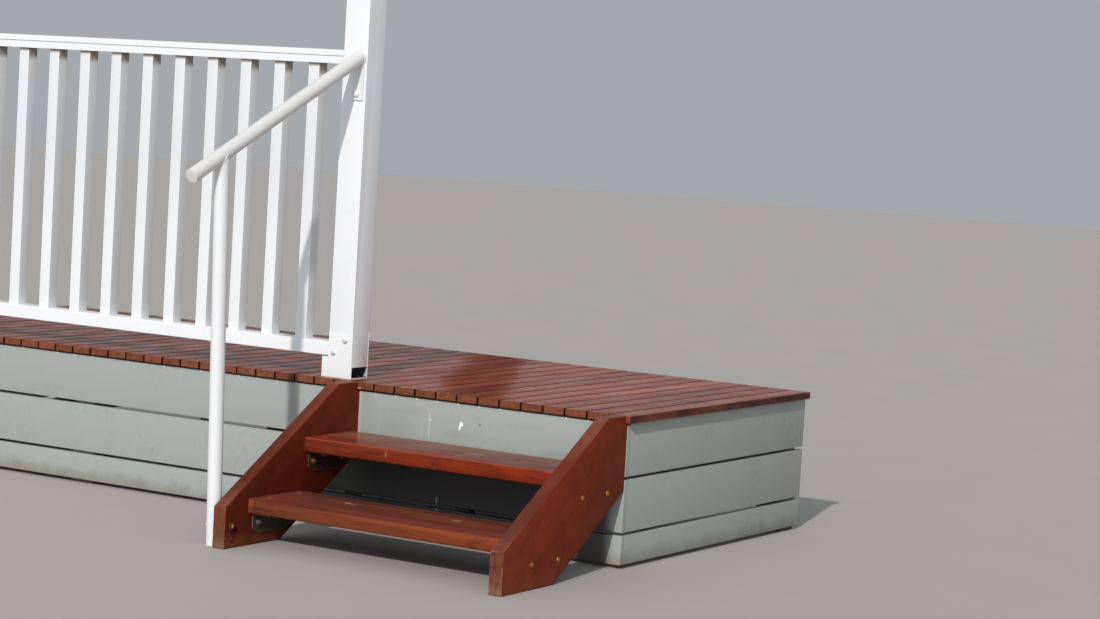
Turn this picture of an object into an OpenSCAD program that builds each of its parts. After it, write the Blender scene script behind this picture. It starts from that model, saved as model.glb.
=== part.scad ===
// Timber deck stairs of two treads between closed stringers, with the edge of the deck that
// they climb to, a round steel handrail, a veranda post and one bay of balustrade.
// X runs along the edge of the deck, Y from the foot of the flight towards its head, and Z up.
// The origin is on the ground, under the middle of the whole model.

/* [Flight] */
// Width of the flight over both stringers
flight_w = 976; // [800:2:1300]
// Height of the deck surface above the ground
deck_h = 442; // [410:1:500]
// Rise from the upper tread to the deck
top_rise = 148; // [130:1:170]
// Rise from the lower tread to the upper one
tread_rise = 158; // [130:1:170]
// Distance from one tread front to the next
going = 254; // [252:1:290]
// Depth of a tread board
tread_d = 246; // [220:1:250]
// Thickness of a tread board
tread_t = 43; // [35:1:50]
// Radius of the arrises along a tread
tread_r = 5; // [2:0.5:8]
// Gap between the upper tread and the fascia
tread_back_gap = 20; // [5:1:40]

/* [Stringers] */
// Thickness of a stringer board
stringer_t = 42; // [35:1:50]
// Width of a stringer board, square to its slope
stringer_w = 240; // [225:1:260]
// How far the sloping edge stands proud of the line of nosings
stringer_margin = 41; // [30:1:50]
// How far the plumb cut of the foot stands ahead of the lower tread
toe_ahead = 105; // [85:1:120]

/* [Tread brackets] */
// Leg of the steel angle under each end of a tread
bracket_leg = 60; // [50:1:65]
// Thickness of the angle's legs
bracket_t = 5; // [4:0.5:8]
// Length of the angle
bracket_l = 186; // [140:1:200]
// Distance of the angle behind the tread's front
bracket_set = 18; // [15:1:35]
// Radius inside the angle's corner
bracket_r = 4; // [2:0.5:6]
// Length of the snip at the lower corners of the hanging leg
snip_l = 29; // [15:1:40]
// Height of that snip
snip_h = 16; // [8:1:25]

/* [Deck] */
// Depth of the deck from the front board ends to the rear ones
deck_d = 1150; // [900:10:1600]
// Width of a deck board
board_w = 70; // [60:1:90]
// Thickness of a deck board
board_t = 21; // [19:1:25]
// Gap between deck boards
board_gap = 4.5; // [3:0.5:8]
// Arris taken off the long edges of a deck board
board_arris = 2; // [1:0.5:4]
// How far the board ends stand out past the fascia
board_overhang = 12; // [8:1:25]
// How far the outermost boards stand out past the end boards
end_overhang = 15; // [8:1:25]
// How far the deck runs past the right stringer
deck_past_flight = 16; // [5:1:40]

/* [Front boards] */
// Thickness of the fascia and the base boards
front_t = 18; // [15:1:24]
// Height of the fascia
fascia_h = 155; // [140:1:165]
// Height of a whole base board
base_board_h = 152; // [140:1:160]
// Open joint between the front boards
front_gap = 9; // [6:1:12]
// Clearance of the lowest board above the ground
ground_gap = 12; // [8:1:20]
// Width of the upright battens behind the boards
batten_w = 50; // [35:1:60]
// Depth of the battens
batten_d = 35; // [25:1:45]
// Distance of the batten behind the flight from the left stringer's outer face
flight_batten_x = 421; // [200:1:600]

/* [Deck frame] */
// Height of a joist
joist_h = 90; // [70:1:110]
// Thickness of a joist
joist_t = 45; // [35:1:50]
// Height of a bearer
bearer_h = 90; // [70:1:110]
// Thickness of a bearer
bearer_t = 70; // [45:1:90]
// Side of a square stump
stump_w = 90; // [80:1:100]

/* [Posts] */
// Side of a square post
post_w = 88; // [80:1:100]
// Height of a post's top above the deck
post_top = 2100; // [1800:10:2500]
// Arris taken off the posts
post_arris = 1; // [0.5:0.5:4]
// Distance of the stair post from the left stringer's outer face
post_clear = 8; // [2:1:30]
// Distance of a post's front face behind the fascia's front
post_setback = 17; // [15:1:45]
// Clearance under a post, above the deck
post_lift = 35; // [20:1:45]
// Thickness of the stirrup's plates
stirrup_t = 5; // [4:0.5:8]
// Height of the stirrup's side plates
stirrup_h = 141; // [120:1:180]
// How far the foot of the front plate stands out beside the post
stirrup_ear = 22; // [10:1:30]
// Height of the wider foot of the front plate
stirrup_ear_h = 63; // [40:1:64]

/* [Balustrade] */
// Number of balusters in the bay
baluster_count = 14; // [6:1:18]
// Side of a square baluster
baluster_w = 41; // [35:0.5:45]
// Gap between balusters
baluster_gap = 90; // [80:0.5:90]
// Gap between a post and the baluster next to it
end_gap = 97.5; // [80:0.5:98]
// Arris taken off the balusters
baluster_arris = 1.5; // [0.5:0.5:4]
// Depth of the top and bottom rail
rail_d = 65; // [50:1:70]
// Height of the top and bottom rail
rail_h = 42; // [35:1:50]
// Height of the top rail's upper face above the deck
top_rail_top = 994; // [900:1:1100]
// Height of the bottom rail's underside above the deck
bottom_rail_lift = 67; // [65:1:100]
// Height of the top rail's wider cap
cap_h = 18; // [12:1:22]
// Radius of the cap's upper edges
cap_r = 8; // [4:1:11]
// How far the cap overhangs the rail under it
cap_lip = 4; // [2:1:8]

/* [Handrail] */
// Outside diameter of the steel tube
tube_d = 42.4; // [38:0.1:48]
// Wall of the tube
tube_wall = 2.6; // [2:0.1:3.2]
// Distance of the tube post in front of the fascia
tube_post_y = 591; // [560:1:600]
// Outward lean of the tube post, in degrees
tube_lean = 1.9; // [0:0.1:2.5]
// Slope of the handrail, in degrees
rail_slope = 26.5; // [22:0.1:30]
// Height of the handrail's axis above the deck where it meets the stair post
rail_end_z = 971; // [900:1:1000]
// Distance of that end to the right of the post's middle
rail_end_x = 17; // [0:1:20]
// Overhang of the handrail past the tube post, along its slope
rail_overhang = 139; // [100:1:180]
// Thickness of the cap on the handrail's lower end
cap_t = 3; // [2:0.5:6]
// Width of the plate that fixes the handrail to the stair post
plate_w = 38; // [34:1:56]
// Thickness of that plate
plate_t = 5; // [4:0.5:8]
// How far the plate runs below the handrail's axis
plate_drop = 127; // [100:1:150]

/* [Hidden] */

// Number of sides drawn on round shapes
round_fn = 48;
// Extra length by which a cutting shape passes through its work
through = 1;
// Clearance of the tube post's coped top from the handrail, and of its foot from the stringer
weld_gap = 0.3;

// Levels
upper_tread_z = deck_h - top_rise;
lower_tread_z = upper_tread_z - tread_rise;
deck_under = deck_h - board_t;
joist_z = deck_under - joist_h;
bearer_z = joist_z - bearer_h;
fascia_z = deck_under - fascia_h;
middle_board_z = fascia_z - front_gap - base_board_h;
bottom_board_top = middle_board_z - front_gap;
top_rail_z = deck_h + top_rail_top - rail_h;
bottom_rail_z = deck_h + bottom_rail_lift;

// The flight, measured from the left stringer's outer face and the fascia's front
stair_slope = atan(tread_rise / going);
upper_tread_y = -tread_back_gap - tread_d;
lower_tread_y = upper_tread_y - going;
toe_y = lower_tread_y - toe_ahead;

// Height of the stringer's sloping edge and of its under edge at a distance y
function slope_z(y) = lower_tread_z + (y - lower_tread_y) * tan(stair_slope)
    + stringer_margin / cos(stair_slope);
function under_z(y) = slope_z(y) - stringer_w / cos(stair_slope);
heel_y = toe_y - under_z(toe_y) / tan(stair_slope);
head_y = toe_y + (deck_h - slope_z(toe_y)) / tan(stair_slope);

// Posts and balustrade
stair_post_x = -post_clear - post_w;
baluster_pitch = baluster_w + baluster_gap;
bay_clear = baluster_count * baluster_pitch - baluster_gap + 2 * end_gap;
end_post_x = stair_post_x - bay_clear - post_w;
rail_y = post_setback;
baluster_y = rail_y + (rail_d - baluster_w) / 2;

// The deck, laid with as many whole boards as reach from its right end past the end post
board_pitch = board_w + board_gap;
deck_right = flight_w + deck_past_flight;
deck_back = deck_d - board_overhang;
landing_count = ceil(deck_right / board_pitch);
landing_left = deck_right - landing_count * board_pitch + board_gap;
veranda_count = ceil((landing_left - end_post_x) / board_pitch);
deck_left = landing_left - veranda_count * board_pitch;
end_left = deck_left + end_overhang;
end_right = deck_right - end_overhang;

// Bearer centres from left to right
bearer_left_x = end_left + front_t + stump_w / 2;
bearer_post_x = stair_post_x + post_w / 2;
bearer_middle_x = (bearer_left_x + bearer_post_x) / 2;
bearer_right_x = end_right - front_t - stump_w / 2;
joist_step = (deck_back - front_t - joist_t) / 3;

// The handrail's axis: where it meets the stair post's plate, the tube post and its lower end
tube_r = tube_d / 2;
plate_y = post_setback - plate_t;
rail_head = [stair_post_x + post_w / 2 + rail_end_x, plate_y, deck_h + rail_end_z];
tube_foot = [-tube_r - weld_gap, -tube_post_y, 0];
joint_z = rail_head[2] - (plate_y + tube_post_y) * tan(rail_slope);
rail_joint = [tube_foot[0] - joint_z * tan(tube_lean), -tube_post_y, joint_z];
rail_dir = (rail_head - rail_joint) / norm(rail_head - rail_joint);
rail_low = rail_joint - rail_dir * rail_overhang;
front_reach = rail_low[1] - cap_t * rail_dir[1] - tube_r * sqrt(1 - rail_dir[1] * rail_dir[1]);

// The model's origin, measured from the flight's own corner
origin = [(deck_left + deck_right) / 2, (front_reach + deck_back) / 2, 0];

// Moves a piece from the flight's corner to the model's origin
module placed() {
    translate(-origin) children();
}

// Square bar with its four long arrises taken off, standing along Z
module arris_bar(width, depth, length, arris) {
    linear_extrude(length)
        polygon([[arris, 0], [width - arris, 0], [width, arris], [width, depth - arris],
            [width - arris, depth], [arris, depth], [0, depth - arris], [0, arris]]);
}

// Plain sawn length of timber
module timber(from, size, shade) {
    placed() color(shade) translate(from) cube(size);
}

// Rectangle with round upper corners, and round lower ones too where asked
module round_rect(width, height, radius, lower) {
    difference() {
        square([width, height]);
        corner_waste(radius, [width, height], [-1, -1]);
        corner_waste(radius, [0, height], [1, -1]);
        if (lower) {
            corner_waste(radius, [width, 0], [-1, 1]);
            corner_waste(radius, [0, 0], [1, 1]);
        }
    }
}

// What rounding takes off one corner of a rectangle
module corner_waste(radius, corner, inward) {
    difference() {
        translate([corner[0] + (inward[0] > 0 ? -through : -radius),
                corner[1] + (inward[1] > 0 ? -through : -radius)])
            square(radius + through);
        translate([corner[0] + inward[0] * radius, corner[1] + inward[1] * radius])
            circle(r = radius, $fn = round_fn);
    }
}

// Cylinder between two points
module rod(from, to, radius) {
    run = to - from;
    translate(from) rotate([0, acos(run[2] / norm(run)), atan2(run[1], run[0])])
        cylinder(h = norm(run), r = radius, $fn = round_fn);
}

// Closed stringer: plumb cut toe, level foot, sloping edges, plumb head notched for the deck boards
module stringer(left_x) {
    placed() color([0.45, 0.14, 0.08])
        translate([left_x, 0, 0]) rotate([90, 0, 90]) linear_extrude(stringer_t)
            polygon([[toe_y, 0], [heel_y, 0], [0, under_z(0)], [0, deck_under],
                [-board_overhang, deck_under], [-board_overhang, deck_h], [head_y, deck_h],
                [toe_y, slope_z(toe_y)]]);
}

// Tread board with its long arrises rounded, housed between the stringers
module tread(front_y, top_z) {
    placed() color([0.62, 0.20, 0.10])
        translate([stringer_t, front_y, top_z - tread_t]) rotate([90, 0, 90])
            linear_extrude(flight_w - 2 * stringer_t) round_rect(tread_d, tread_t, tread_r, true);
}

// Steel angle under a tread end; side is 1 where the stringer is on its left and -1 on its right
module tread_bracket(side, front_y, top_z) {
    face_x = side > 0 ? stringer_t : flight_w - stringer_t;
    placed() color([0.42, 0.36, 0.22])
        translate([face_x, front_y + bracket_set, top_z - tread_t]) difference() {
            translate([0, bracket_l, 0]) rotate([90, 0, 0]) linear_extrude(bracket_l)
                mirror_side(side) angle_profile();
            snip(0, 1);
            snip(bracket_l, -1);
        }
}

// What is snipped off a lower corner of the hanging leg; inward is the way to its middle
module snip(end_y, inward) {
    translate([-bracket_t - through, end_y, -bracket_leg])
        rotate([90, 0, 90]) linear_extrude(2 * (bracket_t + through))
            polygon([[-inward * through, -through],
                [inward * snip_l * (1 + through / snip_h), -through],
                [-inward * through, snip_h * (1 + through / snip_l)]]);
}

// Mirrors a profile drawn for the left stringer where it serves the right one
module mirror_side(side) {
    if (side > 0) children();
    else mirror([1, 0]) children();
}

// Section of the angle, with its corner at the origin, one leg down and one to the right
module angle_profile() {
    difference() {
        translate([0, -bracket_leg]) square(bracket_leg);
        translate([bracket_t + bracket_r, -bracket_leg - through])
            square([bracket_leg, bracket_leg + through - bracket_t]);
        translate([bracket_t, -bracket_leg - through])
            square([bracket_leg, bracket_leg + through - bracket_t - bracket_r]);
        translate([bracket_t + bracket_r, -bracket_t - bracket_r])
            circle(r = bracket_r, $fn = round_fn);
    }
}

// A run of deck boards lying from the front edge to the back
module deck_boards(left_x, count) {
    placed() color([0.40, 0.13, 0.10])
        for (i = [0 : count - 1])
            translate([left_x + i * board_pitch, deck_back, deck_under])
                rotate([90, 0, 0]) linear_extrude(deck_d)
                    polygon([[0, 0], [board_w, 0], [board_w, board_t - board_arris],
                        [board_w - board_arris, board_t], [board_arris, board_t],
                        [0, board_t - board_arris]]);
}

// Painted board along the front of the deck
module front_board(bottom_z, height) {
    timber([end_left, 0, bottom_z], [end_right - end_left, front_t, height], [0.60, 0.64, 0.60]);
}

// The same three boards, returned along one end of the deck behind the front ones
module end_boards(outer_x) {
    for (level = [[fascia_z, deck_under], [middle_board_z, fascia_z - front_gap], [ground_gap, bottom_board_top]])
        timber([outer_x, front_t, level[0]], [front_t, deck_back - front_t, level[1] - level[0]],
            [0.60, 0.64, 0.60]);
}

// Upright batten behind the base boards
module batten(centre_x) {
    timber([centre_x - batten_w / 2, front_t, ground_gap], [batten_w, batten_d, joist_z - ground_gap],
        [0.50, 0.52, 0.48]);
}

// Joist along the deck between the end boards, counted from the front
module joist(index) {
    timber([end_left + front_t, front_t + index * joist_step, joist_z],
        [end_right - end_left - 2 * front_t, joist_t, joist_h], [0.66, 0.58, 0.40]);
}

// Bearer from front to back, under the joists
module bearer(centre_x) {
    timber([centre_x - bearer_t / 2, front_t, bearer_z], [bearer_t, deck_back - front_t, bearer_h],
        [0.62, 0.55, 0.38]);
}

// Stump under a bearer's front or rear end
module stump(centre_x, rear) {
    stump_y = rear ? deck_back - stump_w : front_t;
    timber([centre_x - stump_w / 2, stump_y, 0], [stump_w, stump_w, bearer_z], [0.58, 0.52, 0.38]);
}

// Square post, held clear of the deck and rebated at its foot for its stirrup's two plates
module post(left_x) {
    placed() color([0.95, 0.95, 0.94]) translate([left_x, post_setback, 0]) difference() {
        translate([0, 0, deck_h + post_lift])
            arris_bar(post_w, post_w, post_top - post_lift, post_arris);
        rebate(-through);
        rebate(post_w - stirrup_t);
    }
}

// What is cut from a post's foot to let one plate of the stirrup in flush
module rebate(from_y) {
    translate([-through, from_y, deck_h])
        cube([post_w + 2 * through, stirrup_t + through, stirrup_h]);
}

// Outline of the stirrup's front plate, with the ear on the side given
module stirrup_plate(ear_side) {
    translate([ear_side < 0 ? -stirrup_ear : 0, 0]) square([post_w + stirrup_ear, stirrup_ear_h]);
    square([post_w, stirrup_h]);
}

// Bent steel stirrup, flush with the post: a front and a rear plate joined by a base on the deck
module stirrup(left_x, ear_side) {
    placed() color([0.90, 0.90, 0.88]) translate([left_x, post_setback, deck_h]) union() {
        translate([0, stirrup_t, 0]) rotate([90, 0, 0]) linear_extrude(stirrup_t) stirrup_plate(ear_side);
        translate([0, post_w - stirrup_t, 0]) cube([post_w, stirrup_t, stirrup_h]);
        cube([post_w, post_w, stirrup_t]);
    }
}

// A rail between the two posts
module rail(bottom_z) {
    placed() color([0.94, 0.94, 0.93])
        translate([stair_post_x - bay_clear, rail_y, bottom_z]) rotate([90, 0, 90])
            linear_extrude(bay_clear) children();
}

module top_rail() {
    rail(top_rail_z) union() {
        translate([0, rail_h - cap_h]) round_rect(rail_d, cap_h, cap_r, false);
        translate([cap_lip, 0]) square([rail_d - 2 * cap_lip, rail_h - cap_h + cap_lip]);
    }
}

module bottom_rail() {
    rail(bottom_rail_z) round_rect(rail_d, rail_h, cap_lip, false);
}

module balusters() {
    placed() color([0.93, 0.93, 0.92])
        for (i = [0 : baluster_count - 1])
            translate([stair_post_x - end_gap - baluster_w - i * baluster_pitch, baluster_y,
                    bottom_rail_z + rail_h])
                arris_bar(baluster_w, baluster_w, top_rail_z - bottom_rail_z - rail_h, baluster_arris);
}

// The handrail's tube, cut plumb against its plate
module handrail() {
    placed() color([0.88, 0.86, 0.82]) difference() {
        rod(rail_low, rail_head + rail_dir * tube_d, tube_r);
        rod(rail_low - rail_dir * through, rail_head + rail_dir * (tube_d + through),
            tube_r - tube_wall);
        translate([rail_head[0] - tube_d, plate_y, rail_head[2] - 2 * tube_d])
            cube([2 * tube_d, 2 * tube_d, 4 * tube_d]);
    }
}

module handrail_cap() {
    placed() color([0.88, 0.86, 0.82]) rod(rail_low - rail_dir * cap_t, rail_low, tube_r);
}

// Flat plate between the handrail's upper end and the stair post, with its head rounded to the tube
module handrail_plate() {
    placed() color([0.88, 0.86, 0.82])
        translate([rail_head[0], plate_y + plate_t, rail_head[2]])
            rotate([90, 0, 0]) linear_extrude(plate_t) union() {
                translate([-plate_w / 2, -plate_drop]) square([plate_w, plate_drop]);
                circle(d = plate_w, $fn = round_fn);
            }
}

// Tube post, cut level at the ground and coped to the handrail's underside
module handrail_post() {
    lean = [-sin(tube_lean), 0, cos(tube_lean)];
    placed() color([0.88, 0.86, 0.82]) difference() {
        rod(tube_foot - lean * tube_r, rail_joint, tube_r);
        rod(tube_foot - lean * tube_d, rail_joint + lean * through, tube_r - tube_wall);
        rod(rail_low - rail_dir * tube_d, rail_joint + rail_dir * rail_overhang, tube_r + weld_gap);
        translate([tube_foot[0] - tube_d, tube_foot[1] - tube_d, -2 * tube_d])
            cube([2 * tube_d, 2 * tube_d, 2 * tube_d]);
    }
}

stringer(0);  // left_stringer
stringer(flight_w - stringer_t);  // right_stringer
tread(lower_tread_y, lower_tread_z);  // lower_tread
tread(upper_tread_y, upper_tread_z);  // upper_tread
tread_bracket(1, lower_tread_y, lower_tread_z);  // lower_left_bracket
tread_bracket(-1, lower_tread_y, lower_tread_z);  // lower_right_bracket
tread_bracket(1, upper_tread_y, upper_tread_z);  // upper_left_bracket
tread_bracket(-1, upper_tread_y, upper_tread_z);  // upper_right_bracket
front_board(fascia_z, fascia_h);  // fascia_board
front_board(middle_board_z, base_board_h);  // middle_base_board
front_board(ground_gap, bottom_board_top - ground_gap);  // bottom_base_board
end_boards(end_left);  // left_end_boards
end_boards(end_right - front_t);  // right_end_boards
batten((bearer_left_x + bearer_middle_x) / 2);  // left_batten
batten((bearer_middle_x + bearer_post_x) / 2);  // middle_batten
batten(flight_batten_x);  // flight_batten
deck_boards(landing_left, landing_count);  // landing_boards
deck_boards(deck_left, veranda_count);  // veranda_boards
joist(0);  // front_joist
joist(1);  // second_joist
joist(2);  // third_joist
joist(3);  // rear_joist
bearer(bearer_left_x);  // left_bearer
bearer(bearer_middle_x);  // middle_bearer
bearer(bearer_post_x);  // post_bearer
bearer(bearer_right_x);  // right_bearer
stump(bearer_left_x, false);  // left_front_stump
stump(bearer_left_x, true);  // left_rear_stump
stump(bearer_middle_x, false);  // middle_front_stump
stump(bearer_middle_x, true);  // middle_rear_stump
stump(bearer_post_x, false);  // post_front_stump
stump(bearer_post_x, true);  // post_rear_stump
stump(bearer_right_x, false);  // right_front_stump
stump(bearer_right_x, true);  // right_rear_stump
post(stair_post_x);  // stair_post
post(end_post_x);  // end_post
stirrup(stair_post_x, -1);  // stair_post_stirrup
stirrup(end_post_x, 1);  // end_post_stirrup
top_rail();
bottom_rail();
balusters();
handrail();
handrail_cap();
handrail_plate();
handrail_post();
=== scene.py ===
"""Dresses the timber deck stairs with their finishes and fixings, and sets up the light and the camera."""

import logging
import math
from dataclasses import dataclass
from enum import Enum
from functools import cache, cached_property
from typing import Any, Callable, Iterable, Sequence

import bpy
from mathutils import Matrix, Vector


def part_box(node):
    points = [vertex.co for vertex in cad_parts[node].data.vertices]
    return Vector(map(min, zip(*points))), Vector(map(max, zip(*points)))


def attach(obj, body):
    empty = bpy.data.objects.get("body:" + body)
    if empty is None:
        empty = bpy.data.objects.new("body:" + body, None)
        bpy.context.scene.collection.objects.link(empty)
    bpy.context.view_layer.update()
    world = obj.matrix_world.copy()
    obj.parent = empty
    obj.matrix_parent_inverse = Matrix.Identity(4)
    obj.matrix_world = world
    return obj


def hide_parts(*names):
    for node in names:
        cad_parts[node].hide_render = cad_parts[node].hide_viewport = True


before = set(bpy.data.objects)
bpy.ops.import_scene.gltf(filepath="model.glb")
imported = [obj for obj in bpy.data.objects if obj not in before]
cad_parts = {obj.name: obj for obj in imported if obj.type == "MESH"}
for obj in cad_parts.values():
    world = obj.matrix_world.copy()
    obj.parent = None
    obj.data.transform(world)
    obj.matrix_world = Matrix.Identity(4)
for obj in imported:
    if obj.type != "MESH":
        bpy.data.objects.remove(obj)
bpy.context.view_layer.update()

LOG = logging.getLogger("deck_stairs")
MM = 0.001
MERGE_MM = 0.02
FLAT_DEGREES = 0.5
BODY = "root"

Pair = tuple[float, float]
Place = tuple[float, float, float]
Colour = tuple[float, float, float]
Stops = tuple[tuple[float, Colour], ...]
Marks = tuple[tuple[Pair, Pair, float], ...]
Piece = bpy.types.Object
Socket = bpy.types.NodeSocket


# Places and sizes

@dataclass(frozen=True)
class Datum:
    """The flight's corner, where the left stringer's outer face meets the fascia's front face."""

    x: float
    y: float

    def at(self, x: float, y: float, z: float) -> Vector:
        """Gives the place, in metres, of a point measured in millimetres from the flight's corner."""
        return Vector((self.x + x * MM, self.y + y * MM, z * MM))

    def low(self, node: str) -> Vector:
        """Gives a node's lowest corner in millimetres from the flight's corner."""
        return (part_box(node)[0] - Vector((self.x, self.y, 0.0))) / MM

    def high(self, node: str) -> Vector:
        """Gives a node's highest corner in millimetres from the flight's corner."""
        return (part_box(node)[1] - Vector((self.x, self.y, 0.0))) / MM


DATUM = Datum(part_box("left_stringer")[0].x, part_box("fascia_board")[0].y)

# From tread to tread, in millimetres
RISE = 158.0
GOING = 254.0

# The deck boards, in millimetres, and the pattern that they and the fascia's top share
BOARD_W = 70.0
BOARDS_LEFT = 28
BOARD_PITCH = (DATUM.low("landing_boards").x - DATUM.low("veranda_boards").x) / BOARDS_LEFT
PATTERN_LEAD = 2.0
PATTERN_X = DATUM.low("veranda_boards").x - PATTERN_LEAD


# Modelling helpers

def clear_selection() -> None:
    """Leaves edit mode and deselects every object."""
    if bpy.context.object and bpy.context.object.mode != "OBJECT":
        bpy.ops.object.mode_set(mode="OBJECT")
    bpy.ops.object.select_all(action="DESELECT")


def take(piece: Piece) -> None:
    """Makes one object the only one selected, and active.

    Args:
        piece: The object.
    """
    clear_selection()
    piece.select_set(True)
    bpy.context.view_layer.objects.active = piece


def settle(piece: Piece) -> Piece:
    """Puts a piece's place into its mesh, so that its object sits at the origin.

    Args:
        piece: The mesh object.

    Returns:
        The same piece.
    """
    take(piece)
    bpy.ops.object.transform_apply(location=True, rotation=True, scale=True)
    return piece


def smooth(piece: Piece, angle: float = 30.0) -> Piece:
    """Shades a piece smooth, apart from edges sharper than an angle.

    Args:
        piece: The mesh object.
        angle: The angle, in degrees.

    Returns:
        The same piece.
    """
    take(piece)
    bpy.ops.object.shade_smooth_by_angle(angle=math.radians(angle))
    return piece


def new_object(name: str, data: Any) -> Piece:
    """Puts a mesh, a lamp or a camera into the scene as an object of its own.

    Args:
        name: The object's name.
        data: The mesh, lamp or camera.

    Returns:
        The object.
    """
    made = bpy.data.objects.new(name, data)
    bpy.context.scene.collection.objects.link(made)
    return made


def ease_edges(piece: Piece, width: float, steps: int = 3, angle: float = 30.0) -> Piece:
    """Rounds the sharp edges of a piece, marks them as its arris and shades the flats between them smooth.

    Args:
        piece: The mesh object.
        width: Width of the rounding in millimetres.
        steps: Segments across the rounding.
        angle: Edges sharper than this, in degrees, are rounded.

    Returns:
        The same piece.
    """
    bevel = piece.modifiers.new("ease", "BEVEL")
    bevel.width = width * MM
    bevel.segments = steps
    bevel.limit_method = "ANGLE"
    bevel.angle_limit = math.radians(angle)
    bevel.material = 1
    mesh = piece.data
    mesh.materials.clear()
    for _ in range(2):
        mesh.materials.append(None)
    mesh.polygons.foreach_set("material_index", [0] * len(mesh.polygons))
    take(piece)
    bpy.ops.object.modifier_apply(modifier=bevel.name)
    eased = piece.data.attributes.new("arris", "FLOAT", "FACE")
    for face in piece.data.polygons:
        eased.data[face.index].value = float(face.material_index)
        face.material_index = 0
    return smooth(piece, angle + 5.0)


def soften(piece: Piece, wanted: Callable[[Vector, Vector], bool], width: float, steps: int = 4) -> None:
    """Rounds the chosen edges of a piece in edit mode.

    Args:
        piece: The mesh object.
        wanted: Picks an edge by its middle and its direction, in metres.
        width: Width of the rounding in millimetres.
        steps: Segments across the rounding.
    """
    take(piece)
    bpy.ops.object.mode_set(mode="EDIT")
    bpy.ops.mesh.select_mode(type="EDGE")
    bpy.ops.mesh.select_all(action="DESELECT")
    bpy.ops.object.mode_set(mode="OBJECT")
    points = piece.data.vertices
    for edge in piece.data.edges:
        first, second = (points[index].co for index in edge.vertices)
        edge.select = wanted((first + second) / 2, (second - first).normalized())
    bpy.ops.object.mode_set(mode="EDIT")
    bpy.ops.mesh.bevel(offset=width * MM, segments=steps, affect="EDGES")
    bpy.ops.object.mode_set(mode="OBJECT")


def copy_node(node: str, name: str) -> Piece:
    """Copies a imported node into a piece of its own, with its loose triangles merged into clean faces.

    Args:
        node: The node's name.
        name: The new piece's name.

    Returns:
        The new object.
    """
    piece = new_object(name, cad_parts[node].data.copy())
    take(piece)
    bpy.ops.object.mode_set(mode="EDIT")
    bpy.ops.mesh.select_all(action="SELECT")
    bpy.ops.mesh.remove_doubles(threshold=MERGE_MM * MM)
    bpy.ops.mesh.dissolve_limited(angle_limit=math.radians(FLAT_DEGREES))
    bpy.ops.object.mode_set(mode="OBJECT")
    if piece.data.has_custom_normals:
        bpy.ops.mesh.customdata_custom_splitnormals_clear()
    return piece


def eased_copies(nodes: Iterable[str], naming: str, width: float, steps: int = 3) -> dict[str, Piece]:
    """Copies nodes into pieces named after them, and rounds their edges by a width in millimetres."""
    return {node: ease_edges(copy_node(node, naming.format(node)), width, steps) for node in nodes}


def add_cube(name: str, low: Vector, high: Vector) -> Piece:
    """Adds a box between two corners, with its place in its mesh.

    Args:
        name: The piece's name.
        low: Its lowest corner, in metres.
        high: Its highest corner.

    Returns:
        The new object.
    """
    clear_selection()
    bpy.ops.mesh.primitive_cube_add(size=1.0, location=(low + high) / 2)
    piece = bpy.context.object
    piece.name = name
    piece.scale = high - low
    return settle(piece)


def join(name: str, parts: Sequence[Piece]) -> Piece:
    """Joins several objects into one piece.

    Args:
        name: The piece's name.
        parts: The objects.

    Returns:
        The first of them, which now holds them all.
    """
    clear_selection()
    for part in parts:
        part.select_set(True)
    bpy.context.view_layer.objects.active = parts[0]
    if len(parts) > 1:
        bpy.ops.object.join()
    parts[0].name = name
    return parts[0]


def twin(model: Piece, place: Matrix) -> Piece:
    """Copies a model that was made at the origin, with its own mesh, to another place.

    Args:
        model: The model.
        place: Where the copy goes.

    Returns:
        The copy.
    """
    mesh = model.data.copy()
    mesh.transform(place)
    return new_object(model.name, mesh)


def lay_out(name: str, model: Piece, places: Iterable[Matrix]) -> Piece:
    """Copies a model that was made at the origin to several places, as one piece.

    Args:
        name: The piece's name.
        model: The model, which is removed afterwards.
        places: Where each copy goes.

    Returns:
        The piece.
    """
    made = [twin(model, place) for place in places]
    bpy.data.objects.remove(model)
    return join(name, made)


def facing(place: Vector, outward: Place, spin: float = 0.0) -> Matrix:
    """Gives the placement that turns a fixing, made upright, to face outward, after a spin in degrees."""
    turn = Vector(outward).to_track_quat("Z", "Y").to_matrix().to_4x4()
    return Matrix.Translation(place) @ turn @ Matrix.Rotation(math.radians(spin), 4, "Z")


# Material graphs

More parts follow.
